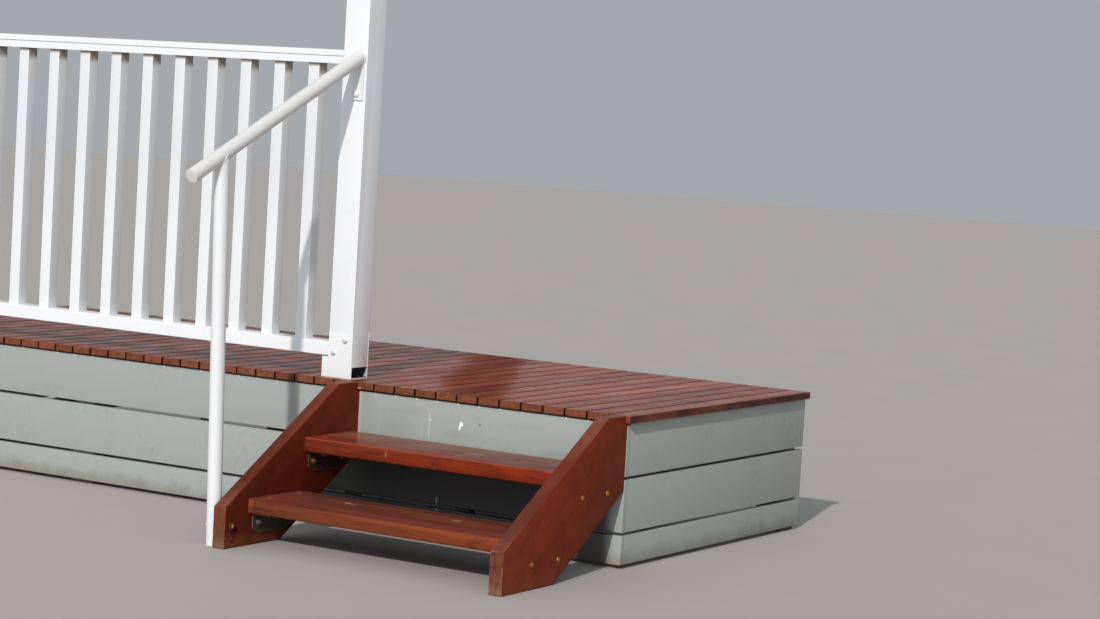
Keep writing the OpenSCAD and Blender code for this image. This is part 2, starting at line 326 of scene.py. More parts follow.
class Field:
    """A value or a colour that varies over a surface, on which sums can be written out."""

    def __init__(self, graph: "Graph", socket: Socket) -> None:
        """Keeps the socket that gives the value, and the graph that it belongs to."""
        self.graph = graph
        self.socket = socket

    def __add__(self, other: "Field | float") -> "Field":
        """Adds a number or a field."""
        return self.graph.sum("ADD", self, other)

    def __sub__(self, other: "Field | float") -> "Field":
        """Takes a number or a field away."""
        return self.graph.sum("SUBTRACT", self, other)

    def __mul__(self, other: "Field | float") -> "Field":
        """Multiplies by a number or a field."""
        return self.graph.sum("MULTIPLY", self, other)

    def __truediv__(self, other: "Field | float") -> "Field":
        """Divides by a number or a field."""
        return self.graph.sum("DIVIDE", self, other)

    def __abs__(self) -> "Field":
        """Drops the sign."""
        return self.graph.sum("ABSOLUTE", self)

    def turned(self, turn: Place) -> "Field":
        """Turns coordinates by an angle in radians about each axis."""
        return self.graph.add("ShaderNodeMapping", {"Vector": self, "Rotation": turn}, "Vector")

    def stretched(self, x: float, y: float, z: float) -> "Field":
        """Scales coordinates along each axis, for a noise with that many features a metre."""
        return self.graph.add("ShaderNodeMapping", {"Vector": self, "Scale": (x, y, z)}, "Vector")

    def noise(self, scale: float = 1.0, detail: float = 3.0, rough: float = 0.5,
              twist: float = 0.0) -> "Field":
        """Gives a soft noise between 0 and 1 on coordinates, with so many finer and rougher ones in it."""
        settings = {"Vector": self, "Scale": scale, "Detail": detail, "Roughness": rough, "Distortion": twist}
        return self.graph.add("ShaderNodeTexNoise", settings, "Fac")

    def range(self, low: float, high: float, to_low: float = 0.0, to_high: float = 1.0) -> "Field":
        """Maps a range of values smoothly to another, held at its ends."""
        ends = {"Value": self, "From Min": low, "From Max": high, "To Min": to_low, "To Max": to_high}
        return self.graph.add("ShaderNodeMapRange", ends, "Result", interpolation_type="SMOOTHSTEP")

    def under(self, low: float, high: float) -> "Field":
        """Gives 1 up to the start of a range and 0 from its end on."""
        return self.range(low, high, 1.0, 0.0)

    def band(self, low: float, high: float, soft: float) -> "Field":
        """Gives 1 between two values and 0 outside them, with soft borders."""
        return self.range(low - soft, low + soft) * self.under(high - soft, high + soft)

    def between(self, first: float, second: float) -> "Field":
        """Gives the first number where this is 0 and the second where it is 1."""
        return self * (second - first) + first

    def ramp(self, stops: Stops) -> "Field":
        """Turns a value into a colour through a ramp.

        Args:
            stops: The value and the colour of each stop.

        Returns:
            The colour.
        """
        node = self.graph.tree.nodes.new("ShaderNodeValToRGB")
        marks = node.color_ramp.elements
        while len(marks) < len(stops):
            marks.new(0.5)
        for mark, (position, colour) in zip(marks, stops):
            mark.position = position
            mark.color = (*colour, 1.0)
        self.graph.tree.links.new(self.socket, node.inputs["Fac"])
        return Field(self.graph, node.outputs["Color"])

    def laid(self, tint: "Field | Colour", share: "Field | float") -> "Field":
        """Lays another colour over this one by a share between 0 and 1."""
        return self.graph.blend(share, self, tint)

    def shaded(self, factor: "Field") -> "Field":
        """Multiplies this colour by a value."""
        return self.graph.shaded(self, factor)

    def marked(self, marks: "Iterable[Mark]", first: "Field", second: "Field",
               where: "Field | float" = 1.0) -> "Field":
        """Lays marks over this colour, one after the other.

        Args:
            marks: The marks.
            first: The coordinate that each mark's first numbers mean.
            second: The coordinate that its second numbers mean.
            where: The share of the marks that shows.

        Returns:
            The colour with the marks.
        """
        colour = self
        for mark in marks:
            colour = colour.laid(mark.tint, mark.spot(first, second) * where)
        return colour

    def relief(self, depth: float, strength: float) -> "Field":
        """Makes a bump from this height, with its depth in metres."""
        bump = {"Height": self, "Distance": depth, "Strength": strength}
        return self.graph.add("ShaderNodeBump", bump, "Normal")


class Graph:
    """One material's node tree, built step by step on object coordinates."""

    def __init__(self, name: str) -> None:
        """Starts a material with a Principled shader and an output.

        Args:
            name: The material's name.
        """
        self.material = bpy.data.materials.new(name)
        self.material.use_nodes = True
        self.tree = self.material.node_tree
        self.tree.nodes.clear()
        self.shader = self.tree.nodes.new("ShaderNodeBsdfPrincipled")
        output = self.tree.nodes.new("ShaderNodeOutputMaterial")
        self.tree.links.new(self.shader.outputs["BSDF"], output.inputs["Surface"])
        self.place = self.add("ShaderNodeTexCoord", {}, "Object")

    def add(self, kind: str, inputs: dict[Any, Any], output: Any, **settings: Any) -> Field:
        """Adds one node.

        Args:
            kind: Blender's name of the node type.
            inputs: A value, a colour or a field for each input, by its name or number.
            output: Name or number of the output wanted.
            **settings: Properties of the node, set before its inputs.

        Returns:
            The output wanted.
        """
        node = self.tree.nodes.new(kind)
        for key, value in settings.items():
            setattr(node, key, value)
        for key, value in inputs.items():
            self.feed(node.inputs[key], value)
        return Field(self, node.outputs[output])

    def feed(self, socket: Socket, value: Any) -> None:
        """Links a field to an input, or sets the input to a number or a colour.

        Args:
            socket: The input.
            value: The field, the number or the colour.
        """
        if isinstance(value, Field):
            self.tree.links.new(value.socket, socket)
        elif socket.type == "RGBA":
            socket.default_value = (*value, 1.0)
        else:
            socket.default_value = value

    def drive(self, name: str, value: Any) -> None:
        """Sets or links one input of the shader."""
        self.feed(self.shader.inputs[name], value)

    def sum(self, kind: str, *values: "Field | float") -> Field:
        """Does one step of arithmetic, by the name of Blender's Math operation."""
        return self.add("ShaderNodeMath", dict(enumerate(values)), "Value", operation=kind)

    def most(self, first: Field, *others: Field) -> Field:
        """Gives the highest of several values.

        Args:
            first: One value.
            others: The other values.

        Returns:
            The highest value.
        """
        for other in others:
            first = self.sum("MAXIMUM", first, other)
        return first

    def blend(self, share: "Field | float", first: "Field | Colour", second: "Field | Colour",
              how: str = "MIX") -> Field:
        """Blends two colours, by the share in which the second shows."""
        return self.add("ShaderNodeMix", {0: share, 6: first, 7: second}, 2, data_type="RGBA", blend_type=how)

    def shaded(self, colour: "Field | Colour", factor: Field) -> Field:
        """Multiplies a colour by a value."""
        grey = self.add("ShaderNodeCombineColor", {0: factor, 1: factor, 2: factor}, 0)
        return self.blend(1.0, colour, grey, "MULTIPLY")

    @cached_property
    def flight(self) -> tuple[Field, Field, Field]:
        """Splits the place on the surface.

        Returns:
            The place across, back and up, in millimetres from the flight's corner.
        """
        split = self.tree.nodes.new("ShaderNodeSeparateXYZ")
        self.tree.links.new(self.place.socket, split.inputs[0])
        across, deep, high = (Field(self, output) * (1 / MM) for output in split.outputs)
        return across - DATUM.x / MM, deep - DATUM.y / MM, high

    @cached_property
    def arris(self) -> Field:
        """Gives 1 on eased edges and 0 elsewhere."""
        return self.add("ShaderNodeAttribute", {}, "Fac", attribute_name="arris")

    @cached_property
    def inside_board(self) -> Field:
        """Measures how far inside its deck board's nearest long edge a place lies.

        Returns:
            The distance in millimetres, below 0 in the gaps.
        """
        across, _, _ = self.flight
        share = self.sum("FRACT", (across - PATTERN_X) / BOARD_PITCH)
        off = abs(share * BOARD_PITCH - (PATTERN_LEAD + BOARD_W / 2))
        return self.sum("SUBTRACT", BOARD_W / 2, off)


class Border(Enum):
    """How a mark's border runs: how far noise moves it, that noise's scale, and from where the mark fades."""

    BLOT = (0.5, 26.0, 0.05)
    SMUDGE = (0.45, 22.0, 0.05)
    SOAKED = (0.8, 80.0, 0.1)
    SMEAR = (0.8, 210.0, 0.2)
    SHADOW = (0.4, 60.0, 0.3)
    HALO = (0.2, 90.0, 0.65)
    SCUFF = (0.45, 160.0, 0.75)
    TRICKLE = (0.5, 150.0, 0.2)
    TORN = (0.7, 130.0, 0.4)
    ROUND = (0.1, 90.0, 0.8)
    DRIP = (0.3, 90.0, 0.75)
    CHIP = (0.3, 150.0, 0.75)
    DOT = (0.2, 150.0, 0.75)
    HOLE = (0.1, 120.0, 0.75)
    RUN = (0.35, 110.0, 0.75)
    SPLASH = (0.6, 110.0, 0.75)


@dataclass(frozen=True)
class Mark:
    """An uneven mark, placed by two coordinates in millimetres."""

    border: Border
    middle: Pair
    half: Pair
    share: float
    tint: Colour

    def spot(self, first: Field, second: Field) -> Field:
        """Gives the mark's share over a surface.

        Args:
            first: The coordinate that the first numbers mean.
            second: The coordinate that the second numbers mean.

        Returns:
            A mask between 0 and the mark's share.
        """
        ragged, scale, core = self.border.value
        graph = first.graph
        u = (first - self.middle[0]) / self.half[0]
        v = (second - self.middle[1]) / self.half[1]
        far = graph.sum("SQRT", u * u + v * v)
        far = far + graph.place.noise(scale, detail=4.0, rough=0.65).between(-ragged, ragged)
        return far.under(core, 1.1) * self.share


class Slot(Enum):
    """The record's material slots."""

    STRINGER = "stringer_timber"
    TREAD = "tread_timber"
    DECK = "deck_timber"
    FRONT = "front_paint"
    FRAME = "frame_timber"
    STUMP = "stump_timber"
    WHITE = "white_timber"
    TUBE = "tube_paint"
    STIRRUP = "stirrup_steel"
    BRACKET = "bracket_steel"


class Along(Enum):
    """The direction in which a board's grain runs, as turns about each axis."""

    WIDTH = (0.0, 0.0, 0.0)
    DEPTH = (0.0, 0.0, -math.pi / 2)
    HEIGHT = (0.0, math.pi / 2, 0.0)
    FLIGHT = (-math.atan2(RISE, GOING), 0.0, 0.0)


@dataclass(frozen=True)
class Finish:
    """A material that is made on object coordinates."""

    name: str

    def sockets(self, graph: Graph) -> dict[str, Any]:
        """Gives a value, a colour or a field for each input of the shader that the finish sets."""
        raise NotImplementedError


@cache
def material_of(finish: Finish) -> bpy.types.Material:
    """Builds a finish's material once, however many pieces wear it.

    Args:
        finish: The finish.

    Returns:
        Its material.
    """
    graph = Graph(finish.name)
    for name, value in finish.sockets(graph).items():
        graph.drive(name, value)
    return graph.material


def put_on(piece: Piece, finish: Finish, slot: Slot, *nodes: str) -> None:
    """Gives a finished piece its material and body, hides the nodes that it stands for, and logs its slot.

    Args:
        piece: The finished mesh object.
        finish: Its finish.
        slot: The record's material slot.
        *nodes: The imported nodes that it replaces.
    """
    piece.data.materials.clear()
    piece.data.materials.append(material_of(finish))
    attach(piece, BODY)
    if nodes:
        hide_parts(*nodes)
    LOG.info("piece %s: %d faces, slot %s", piece.name, len(piece.data.polygons), slot.value)


def put_on_all(pieces: dict[str, Piece], finish: Finish, slot: Slot) -> None:
    """Gives pieces one finish and logs one slot for them, each in the place of the node that it is listed by.
    """
    for node, piece in pieces.items():
        put_on(piece, finish, slot, node)


# Finishes

@dataclass(frozen=True)
class Grain:
    """The patterns of a sawn board, each between 0 and 1."""

    figure: Field
    fine: Field
    pores: Field

    def pits(self, share: float) -> Field:
        """Picks the open pores, with the share that their darker tone gets."""
        return self.pores.range(0.60, 0.72, 0.0, share)


def darker(colour: Colour, share: float) -> Colour:
    """Gives a colour with only a share of its light."""
    return tuple(share * part for part in colour)


@dataclass(frozen=True)
class Oiled(Finish):
    """Oiled red hardwood, with figure, fine grain and open pores along its length."""

    along: Along
    dark: Colour
    bare: Colour = (0.30, 0.15, 0.09)
    roughness: float = 0.42
    gloss: float = 0.05
    coat: float = 0.0
    coat_roughness: float = 0.22
    wear: float = 0.5
    rubbing: Pair = (0.42, 0.62)

    def grain(self, graph: Graph) -> Grain:
        """Makes the grain patterns.

        Args:
            graph: The material being made.

        Returns:
            The figure, the fine grain and the pores.
        """
        space = graph.place.turned(self.along.value)
        if self.along is Along.FLIGHT:
            space = space.turned(Along.DEPTH.value)
        space = self.moved(graph, space)
        broad = space.stretched(1.7, 30, 30).noise(detail=4.0, rough=0.55, twist=0.7)
        fine = space.stretched(8, 380, 380).noise(detail=3.0, rough=0.6, twist=0.2)
        pores = space.stretched(40, 1100, 1100).noise(detail=2.0)
        return Grain(broad * 0.74 + fine * 0.26, fine, pores)

    def moved(self, graph: Graph, space: Field) -> Field:
        """Moves the grain, where boards of one piece differ; a single board keeps its own."""
        return space

    def colour(self, graph: Graph, grain: Grain) -> Field:
        """Gives the colour of the unworn board."""
        raise NotImplementedError

    def worn(self, graph: Graph) -> "Field | float":
        """Gives how far the arrises are worn."""
        return self.wear

    def sheen(self, graph: Graph) -> Field:
        """Gives the roughness of the oil, duller in clouds."""
        return graph.place.noise(9.0).range(0.3, 0.7, self.roughness - 0.07, self.roughness + 0.09)

    def polish(self, graph: Graph) -> "Field | float":
        """Gives the share of the glossy top coat of oil."""
        return self.coat

    def sockets(self, graph: Graph) -> dict[str, Any]:
        """Puts the colour, the worn arrises, the gloss and the relief of the grain together.

        Args:
            graph: The material being made.

        Returns:
            What each input of the shader gets.
        """
        grain = self.grain(graph)
        patches = graph.place.noise(42.0, detail=5.0, rough=0.6).range(*self.rubbing)
        rubbed = graph.arris * patches * self.worn(graph)
        height = grain.fine - grain.pores.range(0.58, 0.72)
        return {"Base Color": self.colour(graph, grain).laid(self.bare, rubbed),
                "Roughness": self.sheen(graph),
                "Specular IOR Level": self.gloss,
                "Coat Weight": self.polish(graph),
                "Coat Roughness": self.coat_roughness,
                "Normal": height.relief(0.25 * MM, 0.5)}


@dataclass(frozen=True)
class StringerOil(Oiled):
    """A stringer's oil: its slope, its sides and its toe each of their own depth of colour."""

    along: Along = Along.FLIGHT
    dark: Colour = (0.062, 0.009, 0.005)
    gloss: float = 0.03
    rubbing: Pair = (0.46, 0.60)
    length: float = 625.0
    middle_x: float = 21.0
    toe_z: float = 119.0
    slope: Stops = ()
    side: Stops = ()
    toe: Stops = ()
    blots: tuple[Mark, ...] = ()
    foot: Colour = (0.16, 0.045, 0.023)
    foot_share: float = 0.8
    dirt: Colour = (0.016, 0.009, 0.006)
    stains_and_shadow: tuple[Mark, ...] = ()

    def colour(self, graph: Graph, grain: Grain) -> Field:
        """Colours each face along its length, with clouds, grain, and the stain and painted shadow under the
        bolt.

        Args:
            graph: The material being made.
            grain: The board's grain.

        Returns:
            The colour.
        """
        across, deep, high = graph.flight
        place = graph.place
        cloud = place.noise(7.0, detail=4.0, rough=0.6, twist=0.4)
        up = deep / self.length + 1.0 + cloud.between(-0.18, 0.18)
        outer = abs(across - self.middle_x).range(19.2, 20.6)
        own = up.ramp(self.slope).laid(up.ramp(self.side), outer)
        own = own.laid(self.foot, (cloud * 60.0 + high).range(40.0, 85.0, self.foot_share, 0.0))
        own = own.marked(self.blots, deep, high)
        streaks = place.stretched(75, 75, 26).noise(detail=5.0, rough=0.65).range(0.35, 0.65, 0.80, 1.18)
        toe = (high / self.toe_z).ramp(self.toe).shaded(streaks)
        own = own.laid(toe, deep.under(1.6 - self.length, 3.4 - self.length))
        own = own.shaded(grain.figure.range(0.36, 0.64, 0.90, 1.10))
        own = own.shaded(place.noise(16.0, detail=4.0, rough=0.6).range(0.3, 0.7, 0.88, 1.12))
        own = own.laid(darker(self.dark, 0.4), grain.pits(0.4))
        own = own.laid(self.dirt, high.range(1.0, 3.2, 0.85, 0.0))
        return own.marked(self.stains_and_shadow, deep, high)

    def worn(self, graph: Graph) -> Field:
        """Wears the toe's arrises alone."""
        _, deep, _ = graph.flight
        return deep.range(12.0 - self.length, 55.0 - self.length, 1.0, 0.08) * self.wear


def bolt_stains_and_shadow(y: float, z: float, share: float) -> tuple[Mark, ...]:
    """Gives the dark stain that runs down from a bolt, with a faint pale smear at its foot, the bolt's
    painted shadow below and behind it, and a dark ring around it.

    Args:
        y: The bolt's place along the stringer, in millimetres from the flight's corner.
        z: Its height.
        share: How dark the run is.

    Returns:
        The marks, from the first laid to the last.
    """
    pale = (0.50, 0.33, 0.27)
    return (Mark(Border.SOAKED, (y + 7.0, z - 32.0), (13.0, 34.0), share, (0.050, 0.010, 0.006)),
            Mark(Border.SMEAR, (y + 2.5, z - 35.0), (2.6, 6.0), 0.32, pale),
            Mark(Border.SMEAR, (y + 8.0, z - 40.0), (3.0, 5.0), 0.22, pale),
            Mark(Border.SMEAR, (y + 6.0, z - 54.0), (5.0, 5.0), 0.16, pale),
            # The bolt's painted shadow on the stringer, below and behind it.
            Mark(Border.SHADOW, (y + 17.0, z - 11.0), (19.0, 15.0), 0.7, (0.022, 0.006, 0.004)),
            Mark(Border.HALO, (y + 1.0, z - 1.0), (17.5, 17.5), 0.85, (0.045, 0.013, 0.006)))


@dataclass(frozen=True)
class TreadOil(Oiled):
    """A tread's oil: an orange front with darker clouds, a glossy strip along the nosing, a scuffed rear."""

    along: Along = Along.WIDTH
    dark: Colour = (0.10, 0.03, 0.018)
    front_y: float = -520.0
    top_z: float = 136.0
    front_dark: Colour = (0.12, 0.028, 0.014)
    front_left: Colour = (0.14, 0.037, 0.017)
    front_right: Colour = (0.228, 0.051, 0.0195)
    strip: Colour = (0.190, 0.041, 0.025)
    rear: Colour = (0.155, 0.046, 0.026)
    strip_deep: float = 99.0
    strip_slant: float = 0.055
    strip_wobble: float = 14.0
    nose: Colour = (0.05, 0.012, 0.008)
    nose_share: float = 0.7
    scuffs: Marks = ()
    scuffed: Colour = (0.50, 0.36, 0.27)
    pale: Colour = (0.27, 0.058, 0.030)
    pale_share: float = 0.0
    trickles: Marks = ()
    trickled: Colour = (0.44, 0.22, 0.16)
    coat: float = 0.24
    rear_coat: float = 0.20

    def inward(self, graph: Graph) -> tuple[Field, Field]:
        """Gives how far back from the tread's front a place lies, and how far below its top."""
        _, deep, high = graph.flight
        return deep - self.front_y, graph.sum("SUBTRACT", self.top_z, high)

    def colour(self, graph: Graph, grain: Grain) -> Field:
        """Colours the front, the nosing, the glossy strip and the rear by their places.

        Args:
            graph: The material being made.
            grain: The board's grain.

        Returns:
            The colour.
        """
        back, down = self.inward(graph)
        own = self.top(graph, grain).laid(self.front(graph, grain), down.range(2.0, 4.5))
        own = own.laid(self.nose, grain.pits(0.35))
        nosing = down.under(2.0, 4.0) * back.under(2.5, 5.0)
        patchy = graph.place.stretched(14, 60, 60).noise().range(0.3, 0.6, 0.5, 1.0)
        own = own.laid(self.nose, nosing * patchy * self.nose_share)
        underside = down.range(36.0, 39.0) * back.range(5.0, 10.0)
        return own.laid(darker(self.dark, 0.6), underside)

    def polish(self, graph: Graph) -> Field:
        """Gives the top its gloss, less along the rounded nosing.

        Args:
            graph: The material being made.

        Returns:
            The weight of the gloss.
        """
        back, down = self.inward(graph)
        flat = down.under(0.1, 0.9) * back.range(3.0, 12.0)
        return flat * back.range(self.strip_deep - 30.0, self.strip_deep + 60.0, self.coat, self.rear_coat)

    def front(self, graph: Graph, grain: Grain) -> Field:
        """Gives the front's colour, warmer to the right and darker below, with clouds.

        Args:
            graph: The material being made.
            grain: The board's grain.

        Returns:
            The colour.
        """
        across, _, _ = graph.flight
        _, down = self.inward(graph)
        base = graph.blend(across.range(60.0, 900.0), self.front_left, self.front_right)
        cloud = graph.place.stretched(7, 9, 26).noise(detail=4.0, rough=0.6, twist=0.8)
        base = base.laid(self.front_dark, cloud.range(0.46, 0.64) * 0.8)
        base = base.laid(self.pale, across.under(48.0, 64.0) * self.pale_share)
        base = base.shaded(down.range(16.0, 40.0, 1.04, 0.78))
        base = base.shaded(grain.figure.range(0.38, 0.62, 0.78, 1.18))
        return base.marked([Mark(Border.TRICKLE, *run, self.trickled) for run in self.trickles], across, down)

    def top(self, graph: Graph, grain: Grain) -> Field:
        """Gives the top's colour: the strip along the nosing, a fine dark line, and the worn rear.

        Args:
            graph: The material being made.
            grain: The board's grain.

        Returns:
            The colour.
        """
        across, _, _ = graph.flight
        back, _ = self.inward(graph)
        wave = graph.place.stretched(3.5, 3.5, 3.5).noise().between(-self.strip_wobble, self.strip_wobble)
        past = back - (across * self.strip_slant + self.strip_deep + wave)
        own = graph.blend(past.range(-4.0, 6.0), self.strip, self.rear)
        own = own.shaded(grain.figure.range(0.36, 0.64, 0.70, 1.30))
        own = own.shaded(across.range(60.0, 170.0, 1.22, 1.0))
        own = own.laid(self.nose, past.band(-1.2, 1.2, 1.2) * 0.5)
        return own.marked([Mark(Border.SCUFF, *scuff, self.scuffed) for scuff in self.scuffs], across, back)


@dataclass(frozen=True)
class DeckOil(Oiled):
    """The deck boards' oil: each board of its own tone, dark along its edges and orange on its sawn end."""

    along: Along = Along.DEPTH
    dark: Colour = (0.19, 0.028, 0.012)
    middle: Colour = (0.31, 0.064, 0.029)
    light: Colour = (0.41, 0.125, 0.066)
    roughness: float = 0.36
    gloss: float = 0.10
    coat: float = 0.22
    wear: float = 0.25
    end_y: float = -12.0
    end: Colour = (0.185, 0.059, 0.029)
    dry: Colour = (0.30, 0.13, 0.085)
    edge: Colour = (0.022, 0.008, 0.006)
    torn: Mark = Mark(Border.TORN, (47.0, 424.0), (8.0, 5.0), 0.6, (0.55, 0.30, 0.16))
    # The slanting way over the deck where a dark reflection is painted into the colour and the oil is made
    # matt.
    reflection_way_x: Pair = (300.0, 550.0)
    reflection_way_slant: float = 0.55
    reflection_way_wobble: float = 80.0
    reflection_way_soft: float = 75.0
    painted_reflection_shade: float = 0.66
    reflection_way_coat: float = 0.022
    reflection_way_roughness: float = 0.92
    grain_step: float = 57.0

    def own(self, graph: Graph) -> Field:
        """Gives a random value of each board's own.

        Args:
            graph: The material being made.

        Returns:
            The value, between 0 and 1.
        """
        across, _, _ = graph.flight
        number = graph.sum("FLOOR", (across - PATTERN_X) / BOARD_PITCH)
        return graph.add("ShaderNodeTexWhiteNoise", {"W": number}, "Value", noise_dimensions="1D")

    def moved(self, graph: Graph, space: Field) -> Field:
        """Moves each board's grain to a place of its own.

        Args:
            graph: The material being made.
            space: The grain's coordinates.

        Returns:
            The moved coordinates.
        """
        step = self.own(graph) * self.grain_step
        shift = graph.add("ShaderNodeCombineXYZ", {0: step, 1: step}, 0)
        return graph.add("ShaderNodeVectorMath", {0: space, 1: shift}, "Vector", operation="ADD")

    def polish(self, graph: Graph) -> Field:
        """Gives the tops their gloss, least along the slanting way of the painted dark reflection."""
        return graph.inside_board.range(3.0, 8.0) * self.sunk(graph).between(self.coat, self.reflection_way_coat)

    def sheen(self, graph: Graph) -> Field:
        """Gives the roughness of the oil, matt along the slanting way of the painted dark reflection."""
        return graph.most(super().sheen(graph), self.sunk(graph) * self.reflection_way_roughness)

    def sunk(self, graph: Graph) -> Field:
        """Picks the slanting way over the deck from the flight's head, where the oil is matt and its colour
        is darkened as a painted dark reflection.

        Args:
            graph: The material being made.

        Returns:
            How far a place lies on it, between 0 and 1.
        """
        across, deep, _ = graph.flight
        wobble = graph.place.noise(3.0, detail=4.0, rough=0.6).between(-self.reflection_way_wobble, self.reflection_way_wobble)
        return (deep * self.reflection_way_slant + across + wobble).band(*self.reflection_way_x, self.reflection_way_soft)

    def colour(self, graph: Graph, grain: Grain) -> Field:
        """Tones each board, dries it in patches, darkens the slanting way as a painted reflection and the
        left end as painted shade, darkens its edges and lightens its sawn end.

        Args:
            graph: The material being made.
            grain: The boards' grain.

        Returns:
            The colour.
        """
        across, deep, high = graph.flight
        place, own, inside = graph.place, self.own(graph), graph.inside_board
        colour = grain.figure.ramp(((0.34, self.dark), (0.50, self.middle), (0.66, self.light)))
        colour = colour.laid(darker(self.dark, 0.45), grain.pits(0.5))
        colour = colour.shaded(own.range(0.0, 1.0, 0.80, 1.20))
        cloud = place.stretched(9, 2.2, 9).noise(detail=4.0, rough=0.6, twist=0.5)
        colour = colour.laid(self.dry, cloud.range(0.52, 0.72, 0.0, 0.45))
        # Painted reflection: the colour is darkened along the slanting way, for a dark reflection in the oil.
        colour = colour.shaded(self.sunk(graph).between(1.0, self.painted_reflection_shade))
        # Painted shade: the boards darken towards the deck's left end.
        colour = colour.shaded(across.range(-420.0, -60.0, 0.80, 1.0))
        patchy = place.stretched(20, 5, 20).noise().range(0.3, 0.6, 0.45, 0.9)
        colour = colour.laid(self.edge, inside.under(1.4, 3.4) * patchy)
        sawn = place.noise(70.0, detail=4.0, rough=0.6).range(0.35, 0.65, 0.72, 1.08)
        end = graph.shaded(self.end, sawn * own.range(0.0, 1.0, 1.15, 0.88))
        end = end.laid(self.edge, inside.under(0.8, 2.0)).marked([self.torn], across, high)
        return colour.laid(end, deep.under(self.end_y + 1.6, self.end_y + 3.0))


@dataclass(frozen=True)
class Paint(Finish):
    """Paint on timber or steel, brushed on, with a little dirt and worn arrises."""

    base: Colour
    dirt: Colour
    under: Colour = (0.5, 0.42, 0.3)
    roughness: float = 0.45
    brush: float = 0.4
    grime: float = 0.25
    chips: float = 0.3
    along: Along = Along.WIDTH

    def marked(self, graph: Graph, colour: Field) -> Field:
        """Adds what marks this piece alone; a plain one has nothing."""
        return colour

    def sockets(self, graph: Graph) -> dict[str, Any]:
        """Puts the colour with its dirt, its marks and its chipped arrises together with the brush strokes.

        Args:
            graph: The material being made.

        Returns:
            What each input of the shader gets.
        """
        place = graph.place
        cloud = place.noise(4.5, detail=5.0, rough=0.6)
        specks = place.noise(60.0, detail=4.0, rough=0.65).range(0.42, 0.75)
        colour = graph.blend(cloud.range(0.42, 0.72) * specks * self.grime, self.base, self.dirt)
        chipped = place.noise(55.0, detail=5.0, rough=0.7).range(0.60, 0.66)
        strokes = place.turned(self.along.value).stretched(14, 420, 420).noise(detail=3.0, rough=0.6)
        return {"Base Color": self.marked(graph, colour).laid(self.under, graph.arris * chipped * self.chips),
                "Roughness": cloud.range(0.3, 0.7, self.roughness - 0.05, self.roughness + 0.1),
                "Normal": strokes.relief(0.2 * MM, self.brush)}


@dataclass(frozen=True)
class PostPaint(Paint):
    """The white of a post and its stirrup, with painted light and shade on the post, painted shadows under
    the stirrup's bolt heads and painted shade in the pocket under the post's foot.
    """

    roughness: float = 0.38
    grime: float = 0.10
    # The colour of the painted light laid low on each post's right side face.
    clean: Colour = (0.92, 0.96, 0.97)
    # The colour of the painted shade in the pocket under the post's foot.
    pocket: Colour = (0.040, 0.034, 0.044)
    # The colour of the painted sunlit patch on the pocket's back wall.
    lit: Colour = (0.36, 0.43, 0.43)
    lit_slope: float = 2.43
    foot_z: float = 477.0
    floor_z: float = 442.0
    walls: Pair = (22.0, 99.4)
    wall_t: float = 1.0
    right_edges: Pair = (2035.0, 8.0)
    split_x: float = -1000.0
    heads: tuple[Pair, ...] = ((-77.2, 519.0), (-34.4, 558.7))
    head_front: Pair = (17.6, 18.4)
    head_drop: float = 3.6
    head_half: Pair = (9.0, 9.0)
    head_shade: float = 0.55

    def marked(self, graph: Graph, colour: Field) -> Field:
        """Lightens the low part of each post's right side and darkens the post towards the top as painted
        light and shade, paints shadows under the bolt heads, and paints shade into the pocket behind the
        foot, with a painted sunlit patch on its back wall.

        Args:
            graph: The material being made.
            colour: The paint so far.

        Returns:
            The marked paint.
        """
        across, deep, high = graph.flight
        # Painted light and shade: each post's right side face is lightened low down, and the paint darkens
        # towards the top.
        edge = across + across.range(self.split_x - 1.0, self.split_x + 1.0).between(*self.right_edges)
        low = edge.range(-1.6, -0.9) * high.under(480.0, 1050.0)
        colour = colour.laid(self.clean, low).shaded(high.range(1000.0, 2000.0, 1.0, 0.93))
        # Painted shadows: a darker crescent, in the undercoat colour, under each bolt head on the stirrup's
        # front.
        painted_bolt_shadows = [Mark(Border.ROUND, (x, z - self.head_drop), self.head_half, self.head_shade, self.under)
                     for x, z in self.heads]
        colour = colour.marked(painted_bolt_shadows, across, high, deep.under(*self.head_front))
        # Painted shade: the pocket between the stirrup's plates, under the post's foot, is made dark.
        front, back = self.walls
        level = high.band(self.floor_z + 3.0, self.foot_z + 0.4, 0.3)
        inside = deep.range(front - 0.6, front - 0.1) * deep.under(back, back + 0.6)
        colour = colour.laid(self.pocket, inside * level)
        # On the rear plate's inner face: a painted sunlit patch below the line where the foot's shadow ends,
        # painted shade above it.
        wall = deep.range(back, back + 0.6) * deep.under(back + self.wall_t, back + self.wall_t + 0.6)
        above = high - (edge * self.lit_slope + self.foot_z)
        return colour.laid(graph.blend(above.range(-2.0, 1.0), self.lit, self.pocket), wall * level)


@dataclass(frozen=True)
class BalusterPaint(Paint):
    """The white of the balusters, lighter low down and darker higher up, with the top rail's shadow painted
    in the corner under the rail.
    """

    painted_rail_shadow: Colour = (0.27, 0.225, 0.17)
    rail_shadow_share: float = 0.9
    front_y: float = 29.0
    rail_z: float = 1394.0

    def marked(self, graph: Graph, colour: Field) -> Field:
        """Darkens the upper part as painted shade and paints the top rail's shadow under the rail, deeper on
        the sides than on the front.

        Args:
            graph: The material being made.
            colour: The paint so far.

        Returns:
            The marked paint.
        """
        _, deep, high = graph.flight
        front = deep.under(self.front_y + 0.8, self.front_y + 1.6)
        down = graph.sum("SUBTRACT", self.rail_z, high)
        # Painted shadow of the top rail, on the fronts and deeper down the sides.
        corner = graph.most(front * down.range(7.0, 13.0, self.rail_shadow_share, 0.0),
                            front.under(0.0, 1.0) * down.range(20.0, 42.0, self.rail_shadow_share, 0.0))
        # Painted light and shade: lighter low down, darker towards the top rail.
        return colour.shaded(high.range(650.0, 1150.0, 1.04, 0.875)).laid(self.painted_rail_shadow, corner)


